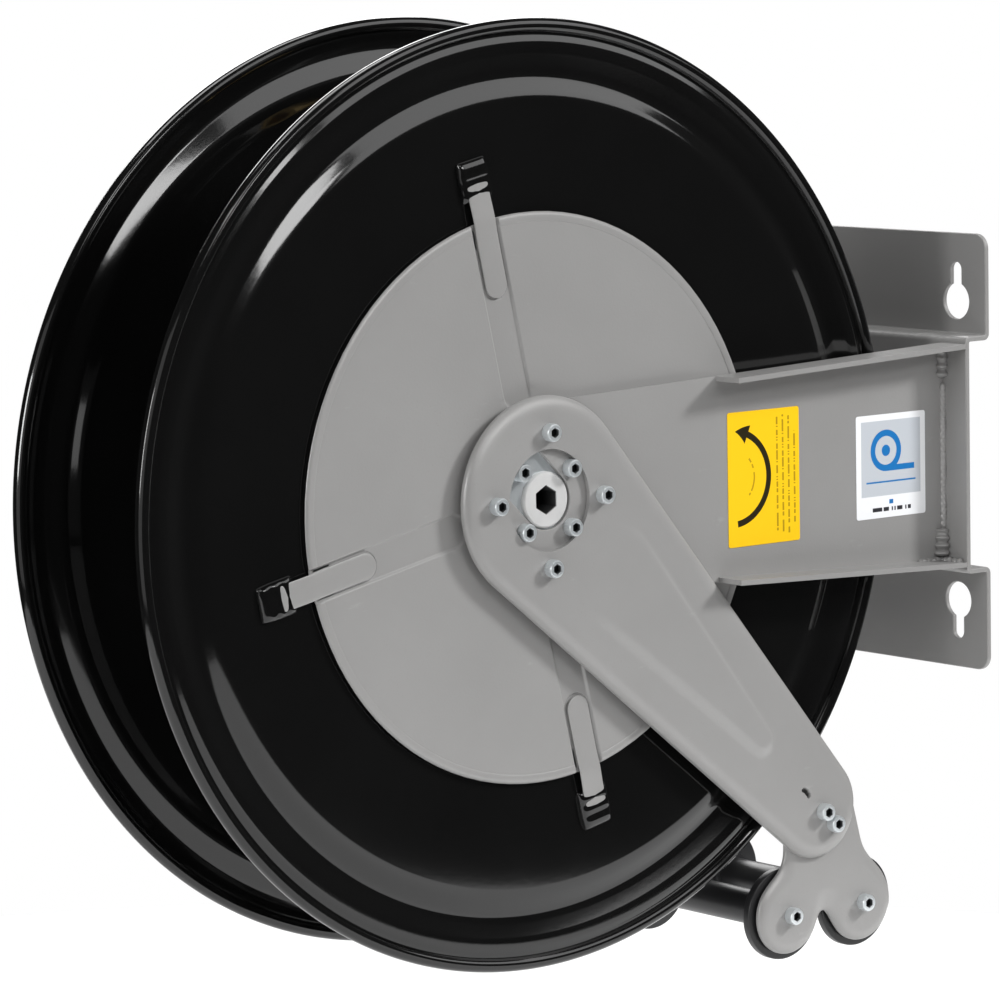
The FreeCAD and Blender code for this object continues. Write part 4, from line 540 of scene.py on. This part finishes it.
def flute_depth(radius, turn):
    """Depth of the flutes: full inside a round-ended channel, fading over its soft edge."""
    depth = np.zeros(np.broadcast(radius, turn).shape)
    for clip in CLIP_TURNS:
        off = turn + math.radians(clip)
        along, across = radius * np.cos(off), radius * np.sin(off)
        gap = np.hypot(np.maximum(62 - along, 0), across) - 9.5
        depth = np.maximum(depth, FLUTE_DEEP * fade(gap, 1.6))
    return depth


def strap_gap(radius, turn):
    """How far inside the narrow dark gap round a strap each point lies, 0 to 1."""
    inside = np.zeros(np.broadcast(radius, turn).shape)
    for clip in CLIP_TURNS:
        off = turn + math.radians(clip)
        along, across = radius * np.cos(off), radius * np.sin(off)
        gap = np.hypot(np.maximum(125.5 - along, 0), across) - 7.5
        inside = np.maximum(inside, fade(np.abs(gap - 0.55) - 0.55, 0.5) * (along > 0))
    return inside


def cover():
    """The spring case's lid as a surface of radius and turn.

    Out is 5 mm, less a smooth 2.2 mm dish inside radius 44 to 50, the flutes
    and a 0.5 mm line round each strap, plus half an ellipse for the bead,
    whose outer side rolls down.
    """
    turn = clip_columns()[None, :]
    radius = np.concatenate([
        [20, 20.3, 21, 30, 40, 43], np.linspace(44, 50, 9), np.linspace(51.5, 114, 30),
        np.linspace(115, 128, 22), np.linspace(130, 155, 13),
        159.3 + 2.7 * np.sin(np.linspace(-np.pi / 2, np.pi / 2, 19)),
    ])[:, None]
    dish = 2.2 * fade(radius - 47, 6.5)
    across = np.clip((radius - 159.3) / 2.7, -1, 1)
    bead = 0.55 * np.sqrt(1 - across**2) - 0.9 * np.clip(across, 0, 1) ** 3
    flutes = flute_depth(radius, turn)
    gaps = strap_gap(radius, turn)
    out = COVER_OUT - dish - flutes + bead * (1 - flutes / FLUTE_DEEP) - 0.5 * gaps
    out = np.where(radius < 20.2, out - 0.3, out)
    rim_out = np.linspace(COVER_OUT - 1.1, 3.9, 3)[:, None] + 0 * turn
    rim = np.full_like(rim_out, COVER_RADIUS)
    under_radius = np.array([COVER_RADIUS - 0.3, 160.5, 160.5, 50, 44, 20])[:, None] + 0 * turn
    under_out = np.array([3.9, 3.9, 3.5, 3.5, 1.3, 1.3])[:, None] + 0 * turn
    radius = np.concatenate([radius + 0 * turn, rim, under_radius])
    out = np.concatenate([out, rim_out - flutes[-1:] * 0.5, under_out])
    # The line round each strap is also painted dark: painted shade in the narrow gap beside the strap.
    dark = np.concatenate([0.85 * gaps, 0 * rim, 0 * under_radius])
    grid = np.stack([HUB_X + radius * np.cos(turn), -(HALF + out), radius * np.sin(turn)], axis=-1)
    return piece(
        "cover_pressing", [(grid, True, True)], "grey_paint", "drum", ["spring_case_cover"], painted_shade=[dark]
    )


def radial_place(turn, along, across, out):
    """Points at a radius, a side step and an outward distance, on the front of the drum."""
    a = math.radians(turn)
    x = HUB_X + along * math.cos(a) + across * math.sin(a)
    z = across * math.cos(a) - along * math.sin(a)
    return np.stack([x, -(HALF + out), z], axis=-1)


# A strap's way out from the hub, and its height over the rim plane at some of those places.
STRAP_ALONG = np.concatenate([
    118 + 7.5 * (1 - np.cos(np.linspace(0, np.pi / 2, 12))),
    [135, 148, 156, 159.5, 161.5, 163.5, 166, 170, 174, 178, 181, 183, 184.6],
])
STRAP_STEPS = (
    [118, 150, 158, 161, 164, 169, 174, 180, 184.6],
    [4.85, 4.85, 5.1, 5.45, 5.45, 5.2, 4.9, 4.8, 4.8],
)


def clip_strap(turn):
    """A bent spring strap: a rounded cross-section carried along a path that follows the cover.

    Width narrows to nothing as a half circle at the inner end; the middle of
    the section is crowned by 0.25 mm.
    """
    path_out = np.interp(STRAP_ALONG, *STRAP_STEPS)
    tip = np.clip((125.5 - STRAP_ALONG) / 7.5, 0, 1)
    half = 7.5 * np.sqrt(np.clip(1 - tip**2, 0.0004, 1))
    section = np.linspace(0, 2 * np.pi, 28, endpoint=False)
    side = np.sign(np.cos(section)) * np.abs(np.cos(section)) ** 0.35
    lift = np.sign(np.sin(section)) * np.abs(np.sin(section)) ** 0.5
    across = half[:, None] * side[None]
    crown = 0.25 * (1 - (across / 7.5) ** 2)
    out = path_out[:, None] + 0.5 * lift[None] + crown
    along = np.broadcast_to(STRAP_ALONG[:, None], across.shape)
    grid = radial_place(turn, along, across, out)
    middles = [grid[i].mean(axis=0, keepdims=True) for i in (0, -1)]
    ends = [np.repeat(middle, grid.shape[1], axis=0)[None] for middle in middles]
    return np.concatenate([ends[0], grid, ends[1]]), False, True


def keeper_block(turn):
    """A moulded loop on the flange: a soft-cornered block with three ridges across its top.

    Height is (3.5 mm + a ridge wave) times (1 - |a|^6)^(1/3) (1 - |b|^6)^(1/3),
    at most 3.8 mm, a and b running from -1 to 1 along and across; its foot is
    flat.
    """
    a = np.sin(np.linspace(-np.pi / 2, np.pi / 2, 45))[:, None]
    b = np.sin(np.linspace(-np.pi / 2, np.pi / 2, 33))[None]
    body = (np.clip(1 - np.abs(a) ** 6, 0, 1) * np.clip(1 - np.abs(b) ** 6, 0, 1)) ** (1 / 3)
    ridge = 0.34 * np.cos(a * 11.5 * 2 * np.pi / 7.2) * np.clip(1.1 - np.abs(a), 0, 1)
    ridge = ridge * (1 - np.abs(b) ** 8)
    height = np.clip(3.5 * body + ridge * body, 0, 3.8)
    along = 185.5 + 11.5 * a + 0 * b
    across = 10.5 * b * (1 - 0.10 * np.clip(a, 0, 1) ** 2) + 0 * a
    top = radial_place(turn, along, across, DISC_OUT + height)
    foot = radial_place(turn, along, across, DISC_OUT + 0 * height - 0.05)
    return [(top, False, False), (foot, False, False)]


def clips_and_keepers():
    """All four straps as one piece and all four keepers as another."""
    straps = [clip_strap(turn) for turn in CLIP_TURNS]
    piece("strap_clips", straps, "grey_paint", "drum", ["cover_clips"])
    blocks = [grid for turn in CLIP_TURNS for grid in keeper_block(turn)]
    piece("keeper_loops", blocks, "black_gloss_paint", "drum", ["clip_keepers"])


# ------------------------------------------------------------- fixed frame

ARM_TURN = math.radians(45)
GUIDE_LONG, GUIDE_BIG, GUIDE_SMALL = 285.0, 59.0, 30.5
GUIDE_OUT = 16.0
WINDOW = 29.0


def capsule_gap(x, z, first, big, last, small):
    """Distance outside the hull of two circles on the X axis, negative inside."""
    length = last - first
    lean = (big - small) / length
    cosine = math.sqrt(1 - lean * lean)
    px, pz = x - first, np.abs(z)
    straight = px * lean + pz * cosine - big
    near_last = np.hypot(px - length, pz) - small
    near_first = np.hypot(px, pz) - big
    along = px * cosine - pz * lean
    beside = np.where(along > length * cosine, near_last, straight)
    return np.where(along < 0, near_first, beside)


def guide_outline():
    """Points on the arm's middle line, outward directions and reaches, all round the arm.

    On the straight sides the middle point and the reach both run linearly
    from the hub's circle to the tip's, so each ray meets the edge squarely.
    """
    lean = math.asin((GUIDE_BIG - GUIDE_SMALL) / GUIDE_LONG)
    touch = math.pi / 2 - lean
    along = np.concatenate([
        np.linspace(0, 28, 19), np.linspace(29, 258, 115), np.linspace(258.7, 284.4, 38)
    ])
    hub_turn = np.linspace(touch, 2 * math.pi - touch, 72, endpoint=False)
    tip_turn = np.linspace(-touch, touch, 57)
    middle = np.concatenate([0 * hub_turn, along, GUIDE_LONG + 0 * tip_turn, along[:0:-1]])
    turn = np.concatenate([hub_turn, -touch + 0 * along, tip_turn, touch + 0 * along[:0:-1]])
    reach = GUIDE_BIG + (GUIDE_SMALL - GUIDE_BIG) * middle / GUIDE_LONG
    return middle, turn, reach


def arm_panel(x, z):
    """Height of the raised panel: 1.6 mm, rising gently from the hub.

    Its slope is 4.5 mm wide on the upper side and 9.5 on the lower.
    """
    gap = capsule_gap(x, z, 68.0, 30.0, 221.0, 10.0)
    width = 7.0 - 2.5 * np.tanh(z / 6)
    return 1.6 * fade(gap + width * 0.4, width) * fade(68 - x, 64)


def adjuster_slot(x, z):
    """1 inside the narrow slot behind the tip screws, 0 outside."""
    gap = np.hypot(np.maximum(np.abs(x - 270.5) - 2.6, 0), z - 0.6 * np.sin((x - 268) * 0.6)) - 1.3
    return fade(gap, 0.9)


def guide_arm(name, side, node):
    """A pressed swing arm as a surface: rays from its middle line out to its turned edge.

    Out is flat, plus the raised panel, and falls round a quarter of an
    ellipse, 9 mm wide and 4.7 deep, into the 6 mm deep edge.  The sheet is
    2.8 mm thick and its underside follows the top.
    """
    middle, turn, reach = guide_outline()
    cosine, sine = np.cos(turn), np.sin(turn)
    root = np.clip(middle**2 * cosine**2 - (middle**2 - WINDOW**2), 0, None)
    start = np.where(middle < WINDOW, np.sqrt(root) - middle * cosine, 0.0)
    share = np.linspace(0, 1, 34)[:, None]
    inner = start + (reach - 9.5 - start) * share
    bend = np.linspace(0, np.pi / 2, 15)
    edge = (reach - 9)[None] + 9 * np.sin(bend)[:, None]
    drop = 4.7 * (1 - np.cos(bend))[:, None] + 0 * edge
    hem = np.repeat(reach[None], 2, axis=0)
    hem_drop = np.array([5.2, 6.0])[:, None] + 0 * hem
    ray = np.concatenate([inner, edge, hem])
    fall = np.concatenate([0 * inner, drop, hem_drop])
    x, z = middle + ray * cosine, ray * sine
    slot = adjuster_slot(x, z)
    out = GUIDE_OUT - fall + arm_panel(x, z) - 2.2 * slot
    under_ray = np.minimum(ray, reach - 2.8)
    under_x, under_z = middle + under_ray * cosine, under_ray * sine
    under_out = GUIDE_OUT - 2.8 - 0.8 * fall + arm_panel(under_x, under_z)
    under_out = np.clip(under_out, GUIDE_OUT - 6.0, GUIDE_OUT - 2.8 + 1.6)
    x, z = np.concatenate([x, under_x[::-1]]), np.concatenate([z, under_z[::-1]])
    out = np.concatenate([out, under_out[::-1]])
    row_x = HUB_X + x * math.cos(ARM_TURN) + z * math.sin(ARM_TURN)
    row_z = z * math.cos(ARM_TURN) - x * math.sin(ARM_TURN)
    shell = np.stack([row_x, side * (HALF + out), row_z], axis=-1)
    seam = np.zeros(out.shape, dtype=bool)
    seam[0] = seam[-1] = middle >= WINDOW
    # The adjuster slot is sunk 2.2 mm and painted dark: painted shade standing for the open slot.
    dark = np.concatenate([slot, 0 * under_x])
    return piece(
        name, [(shell, True, True)], "grey_paint", "frame", [node],
        sharp=50.0, painted_shade=[dark], drop=seam,
    )


PLATE_OUT = 10.0
LOBE_RADIUS, LOBE_Z = 23.5, -264.525
LOBE_X = (183.025, 241.025)
PLATE_MIDDLE = (212.0, -240.0)
AXLES = {"a": (-146.975, -264.525), "b": (-88.975, -264.525)}
TIP_SCREWS = (288.5, 299.8)
INNER_CIRCLE, OUTER_CIRCLE = 23.75, 38.5


def soft_least(first, second, reach):
    """The lesser of two distances, blended where they nearly agree, which rounds inner corners."""
    near = np.clip(1 - np.abs(first - second) / reach, 0, 1)
    return np.minimum(first, second) - near * near * reach / 4


def plate_gap(x, z):
    """Distance outside the roller plate's outline: two lobes and a tapering neck, blended."""
    lobes = [np.hypot(x - lobe, z - LOBE_Z) - LOBE_RADIUS for lobe in LOBE_X]
    top = np.hypot(x - 208.5, z + 201.5) - 27.0
    lean = 10.5 / 39.6
    left = 181.5 - x
    right = (x - 235.5 + (z + 201.5) * lean) / math.hypot(1, lean)
    neck = np.maximum(np.maximum(left, right), np.maximum(z + 201.5, -258 - z))
    body = soft_least(np.minimum(neck, top), lobes[0], 16.0)
    return soft_least(body, lobes[1], 16.0)


def roller_plate(name, side, node):
    """A two-lobed plate: rays from its middle to its outline, its border rolled over.

    The outline's reach along each ray is found by halving.  Out falls over
    7 mm towards the edge round a quarter ellipse 3.4 mm deep.
    """
    turn = np.linspace(0, 2 * np.pi, 288, endpoint=False)
    low, high = np.zeros_like(turn), np.full_like(turn, 90.0)
    for _ in range(40):
        mid = (low + high) / 2
        gap = plate_gap(PLATE_MIDDLE[0] + mid * np.cos(turn), PLATE_MIDDLE[1] + mid * np.sin(turn))
        low, high = np.where(gap < 0, mid, low), np.where(gap < 0, high, mid)
    reach = low[None]
    share = np.concatenate([[0.0], 1 - np.linspace(0.93, 0.0, 44) ** 1.5])[:, None]
    ray = reach * share
    x, z = PLATE_MIDDLE[0] + ray * np.cos(turn), PLATE_MIDDLE[1] + ray * np.sin(turn)
    t = np.clip(1 + plate_gap(x, z) / 7.0, 0, 1)
    out = PLATE_OUT - 3.4 * (1 - np.sqrt(np.clip(1 - t * t, 0, 1)))
    hem_ray = np.stack([reach[0], reach[0], reach[0] - 2.6, reach[0] - 3.0, 0 * reach[0]])
    hem_out = np.array([6.2, 5.5, 5.5, 7.0, 7.0])[:, None] + 0 * hem_ray
    x = np.concatenate([x, PLATE_MIDDLE[0] + hem_ray * np.cos(turn)])
    z = np.concatenate([z, PLATE_MIDDLE[1] + hem_ray * np.sin(turn)])
    out = np.concatenate([out, hem_out])
    grid = np.stack([HUB_X + x, side * (HALF + out), z], axis=-1)
    return piece(name, [(grid, False, True)], "grey_paint", "frame", [node], sharp=50.0)


def screw(x, z, out, side, head=5.0, tall=6.0, key=2.5, below=1.0):
    """A socket head: radius and depth down a profile, carried round.

    The radius swings between a hexagon at the key and a circle outside, and
    a small cosine knurls the head's side.
    """
    turn = np.linspace(0, 2 * np.pi, 108, endpoint=False)[None]
    sector = (turn + np.pi / 6) % (np.pi / 3) - np.pi / 6
    hexagon = key / np.cos(sector)
    ring = np.ones_like(turn)
    knurl = 0.13 * np.cos(turn * 36)
    rows = [
        (0.0 * ring, tall - 3.0), (hexagon, tall - 3.0), (hexagon, tall - 0.25),
        (hexagon + 0.3, tall), ((head - 0.7) * ring, tall),
        ((head - 0.3) * ring, tall - 0.12), (head * ring, tall - 0.6),
        (head * ring + knurl, tall - 1.0), (head * ring + knurl, 1.0), (head * ring, 0.7),
        ((head - 0.1) * ring, 0.0), ((head - 0.4) * ring, -0.02),
        (3.0 * ring, -0.02), (3.0 * ring, -below), (0.0 * ring, -below),
    ]
    radius = np.concatenate([row for row, _ in rows])
    height = np.array([level for _, level in rows])[:, None] + 0 * radius
    grid = np.stack([
        x + radius * np.cos(turn), side * (HALF + out + height), z + radius * np.sin(turn)
    ], axis=-1)
    # The hex socket is painted dark: painted shade inside the socket.
    dark = np.zeros(radius.shape)
    dark[:2] = 1.0
    dark[2] = 0.5
    return (grid, False, True), dark


def heads_piece(name, screws, node):
    """A group of socket screws as one piece."""
    grids, dark = zip(*screws)
    piece(name, grids, "zinc_plate", "frame", [node], painted_shade=dark)


def around(pitch, start):
    """Four places about the hub."""
    turns = np.radians(start + 90.0 * np.arange(4))
    return [(HUB_X + pitch * math.cos(a), pitch * math.sin(a)) for a in turns]


def all_screws():
    """Every socket screw of the frame, grouped as its node is."""
    tip = [(HUB_X + s * math.cos(ARM_TURN), -s * math.sin(ARM_TURN)) for s in TIP_SCREWS]
    inner = around(INNER_CIRCLE, 45)
    for side, word in ((FRONT, "front"), (REAR, "rear")):
        heads = [screw(x, z, 13.0 if i != 1 else 10.0, side) for i, (x, z) in enumerate(inner)]
        heads_piece(f"{word}_collar_heads", heads, f"{word}_collar_screws")
        heads = [screw(x, z, GUIDE_OUT, side) for x, z in around(OUTER_CIRCLE, 0)]
        heads_piece(f"{word}_arm_heads", heads, f"{word}_arm_screws")
        heads = [screw(x, z, GUIDE_OUT, side, below=11.5) for x, z in tip]
        heads_piece(f"{word}_tip_heads", heads, f"{word}_tip_screws")
        heads = [screw(x, z, PLATE_OUT, side) for x, z in AXLES.values()]
        heads_piece(f"{word}_axle_heads", heads, f"{word}_axle_screws")


def shaft():
    """The shaft: rings along its length, from a hexagonal socket out to its round face."""
    turn = np.linspace(0, 2 * np.pi, 180, endpoint=False)[None]
    sector = (turn + np.pi / 6) % (np.pi / 3) - np.pi / 6
    hexagon = 7.0 / np.cos(sector)
    ring = np.ones_like(turn)
    face, tail = -(HALF + 12.8), HALF + 24.0
    rows = [
        (0 * ring, face + 18), (hexagon, face + 18), (hexagon, face + 0.5),
        (hexagon + 0.5, face), (hexagon * 0.4 + 6.5, face), (14.6 * ring, face),
        (15.0 * ring, face + 0.05), (15.9 * ring, face + 0.9), (16 * ring, face + 1.1),
        (16 * ring, tail - 1), (15.2 * ring, tail), (9.5 * ring, tail),
        (9.5 * ring, tail - 12), (0 * ring, tail - 12),
    ]
    radius = np.concatenate([row for row, _ in rows])
    y = np.array([level for _, level in rows])[:, None] + 0 * radius
    grid = np.stack([HUB_X + radius * np.cos(turn), y, radius * np.sin(turn)], axis=-1)
    # The hex socket is painted dark: painted shade inside the socket.
    dark = np.zeros(radius.shape)
    dark[:2] = 1.0
    dark[2] = 0.9
    return piece(
        "turned_shaft", [(grid, False, True)], "shaft_steel", "frame", ["main_shaft"], painted_shade=[dark]
    )


def softened(node, name, slot, body, width):
    """A merged copy of a solid whose sharp edges are broken by a small bevel."""
    mesh = NODES[node].data.copy()
    mesh.name = name
    mesh.materials.clear()
    work = bmesh.new()
    work.from_mesh(mesh)
    bmesh.ops.remove_doubles(work, verts=work.verts, dist=1e-6)
    bmesh.ops.dissolve_limit(work, angle_limit=math.radians(0.5), verts=work.verts, edges=work.edges)
    work.to_mesh(mesh)
    work.free()
    made = settle(mesh, name, slot, body, [node], sharp=30.0, clean=False)
    bevel = made.modifiers.new("edge", "BEVEL")
    bevel.width = width * MM
    bevel.segments = 2
    bevel.limit_method = "ANGLE"
    bevel.angle_limit = math.radians(35)
    bevel.harden_normals = False
    return made


def weld_bead(start, end, radius, beads, lean):
    """A weld: a half-round section along a line, its radius swelling once for every drop laid.

    Radius = r (0.85 + 0.25 |sin(pi beads t)|), closing to a point at both ends.
    """
    t = np.linspace(0, 1, beads * 8 + 1)[:, None]
    turn = np.linspace(0, 2 * np.pi, 20, endpoint=False)[None]
    close = np.sqrt(np.clip(1 - (2 * t - 1) ** 24, 0, 1))
    swell = radius * (0.85 + 0.25 * np.abs(np.sin(np.pi * beads * t))) * close
    start, end = np.array(start, float), np.array(end, float)
    way = (end - start) / np.linalg.norm(end - start)
    side = np.cross(way, np.array(lean, float))
    side /= np.linalg.norm(side)
    up = np.cross(side, way)
    wander = 0.25 * radius * np.sin(7 * np.pi * t + 1.0)
    centre = start + (end - start) * t + side * wander
    ring = np.cos(turn)[..., None] * side + np.sin(turn)[..., None] * up
    grid = centre[:, None] + swell[..., None] * ring
    return grid, False, True


def welds():
    """Beads where the side arms meet the bracket, at web and lips, front and rear."""
    for side, word in ((FRONT, "front"), (REAR, "rear")):
        web = side * (HALF + 10.2)
        crown = -20.2
        beads = [
            weld_bead((crown, web, -49), (crown, web, 43), 2.2, 22, (1, side, 0)),
            weld_bead((crown - 1.5, web, -45), (crown - 2.5, web + side, -62), 4.2, 4, (1, side, 0)),
            weld_bead((crown - 22, web, -64), (crown, web + side * 0.5, -64), 1.8, 6, (0, side, 1)),
            weld_bead((crown - 1, web, 46), (crown - 1, web + side, 62), 3.4, 3, (1, side, 0)),
            weld_bead(
                (crown - 1, web + side * 2, -64.2), (crown - 1, web + side * 17, -64.2), 1.9, 5, (1, 0, 1)
            ),
        ]
        piece(f"{word}_welds", beads, "grey_paint", "frame", sharp=60.0)


def roller(letter, x, z):
    """One guide roller: a tube between two flanged caps, all turned about its own axis."""
    centre = (x, z)
    face = HALF + 3.5
    back = face - 5.5
    seat = back - 9
    tube = turned([(8.5, -seat), (10.5, -seat), (10.5, seat), (8.5, seat)], centre, 96)
    body = f"roller_{letter}"
    piece(f"{body}_barrel", [tube], "black_plastic", body, [f"{body}_tube"])
    for side, word in ((FRONT, "front"), (REAR, "rear")):
        outline = [
            (6.1, face), (27.4, face), (27.4, back), (13.5, back), (13.5, seat + 5.1),
            (12.9, seat + 4.5), (13.5, seat + 3.9), (13.5, seat), (8.5, seat),
            (8.5, seat - 8), (6.1, seat - 8),
        ]
        outline = [(r, side * y) for r, y in outline]
        radii = [0.3, 0.9, 0.9, 1.5, 0.2, 0.2, 0.2, 0.5, 0.1, 0.3, 0.3]
        cap = turned(outline, centre, 144, radii)
        piece(f"{body}_{word}_flange", [cap], "black_plastic", body, [f"{body}_{word}_cap"])


# ------------------------------------------------------------------ studio


def stand_floor():
    """A wide pale disc under the reel: rings of points about a place below it."""
    turn = np.linspace(0, 2 * np.pi, 96, endpoint=False)[None]
    radius = np.array([0.0, 400.0, 800.0, 1150.0])[:, None]
    x = HUB_X - 100 + radius * np.cos(turn)
    y = radius * np.sin(turn)
    grid = np.stack([x, y, 0 * x - 460.0], axis=-1)
    mesh = bpy.data.meshes.new("floor")
    faces = grid_faces(*grid.shape[:2], False, True)
    mesh.from_pydata((grid.reshape(-1, 3) * MM).tolist(), [], faces.tolist())
    floor = bpy.data.objects.new("floor", mesh)
    bpy.context.scene.collection.objects.link(floor)
    material, tree, shader = finish_named("pale_floor", Roughness=0.9)
    skin = placed(tree, SKIN, Fine=60.0, Broad=2.0)
    colour = blend_of(tree, skin["Tone"], (0.86, 0.86, 0.86), (0.90, 0.90, 0.90))
    tree.links.new(colour, shader.inputs["Base Color"])
    mesh.materials.append(material)


# Each light: its name, direction from the hub, metres away, size in metres and watts.
LIGHTS = (
    ("key", (0.68, -0.53, 0.50), 6.0, (0.9, 0.9), 300),
    ("broad", (0.55, -0.65, 0.55), 5.0, (3.6, 2.6), 60),
    ("front_spot", (0.08, -0.88, 0.42), 3.2, (0.9, 0.5), 14),
    ("over_left", (-0.30, -0.68, 0.66), 3.0, (1.0, 0.7), 10),
    ("left_strip", (-0.95, -0.12, 0.20), 2.4, (0.4, 0.8), 16),
    ("left_wall", (-0.92, -0.35, 0.12), 2.6, (2.4, 2.4), 11),
    ("top", (-0.05, 0.15, 1.0), 2.2, (1.6, 0.8), 20),
    ("rear_fill", (0.35, 0.80, 0.45), 3.2, (2.2, 1.6), 55),
)


def soft_light(name, place, aim, size, power):
    """A rectangular soft box at a place, turned towards a point, in metres."""
    data = bpy.data.lights.new(name, "AREA")
    data.shape = "RECTANGLE"
    data.size, data.size_y = size
    data.energy = power
    lamp = bpy.data.objects.new(name, data)
    bpy.context.scene.collection.objects.link(lamp)
    lamp.location = place
    lamp.rotation_mode = "QUATERNION"
    lamp.rotation_quaternion = (Vector(aim) - Vector(place)).to_track_quat("-Z", "Y")
    return lamp


def light_studio():
    """A small key high at the right with a broad box beside it, and weak fills.

    The surround is white to the camera, dim to everything else and nearly
    dark to reflections, so that gloss shows only the boxes of light.  The key
    itself isn't reflected; it gives the shadows.
    """
    hub = Vector((HUB_X * MM, 0.0, 0.0))
    lamps = {}
    for name, direction, far, size, power in LIGHTS:
        place = hub + Vector(direction).normalized() * far
        lamps[name] = soft_light(name, place, hub, size, power)
    lamps["key"].visible_glossy = False
    world = bpy.data.worlds.new("studio")
    world.use_nodes = True
    tree = world.node_tree
    sky = tree.nodes["Background"]
    path = add(tree, "LightPath").outputs
    seen = sum_up(tree, "MULTIPLY_ADD", path["Is Camera Ray"], 0.82, 0.18)
    strength = sum_up(tree, "MULTIPLY_ADD", path["Is Glossy Ray"], -0.15, seen)
    tree.links.new(strength, sky.inputs["Strength"])
    sky.inputs["Color"].default_value = (1, 1, 1, 1)
    bpy.context.scene.world = world
    bpy.context.scene.view_settings.view_transform = "Standard"


def place_camera():
    """The camera's place and turn, with a long lens."""
    data = bpy.data.cameras.new("camera")
    data.sensor_width = 36
    data.lens = 175.57
    data.clip_start, data.clip_end = 0.05, 100
    camera = bpy.data.objects.new("camera", data)
    bpy.context.scene.collection.objects.link(camera)
    right = Vector((0.78162, -0.62345, -0.01871))
    up = Vector((0.08902, 0.08180, 0.99264))
    ahead = Vector((0.61735, 0.77755, -0.11944))
    turn = Matrix((right, up, -ahead)).transposed().to_4x4()
    camera.matrix_world = Matrix.Translation((-2.0434, -2.1882, 0.3280)) @ turn
    bpy.context.scene.camera = camera


dress_frame()
flange("front_flange_pressing", FRONT, 149.5)
flange("rear_flange_pressing", REAR, 27.0)
drum_core()
cover()
clips_and_keepers()
guide_arm("front_guide_pressing", FRONT, "front_guide_arm")
guide_arm("rear_guide_pressing", REAR, "rear_guide_arm")
roller_plate("front_lobed_plate", FRONT, "front_roller_plate")
roller_plate("rear_lobed_plate", REAR, "rear_roller_plate")
all_screws()
shaft()
for node, width in (
    ("wall_bracket", 0.5), ("front_side_arm", 0.5), ("rear_side_arm", 0.5),
    ("front_lock_plate", 0.4), ("rear_lock_plate", 0.4),
):
    softened(node, f"{node}_sheet", "grey_paint", "frame", width)
welds()
for letter, (x, z) in AXLES.items():
    roller(letter, x, z)
stand_floor()
light_studio()
place_camera()
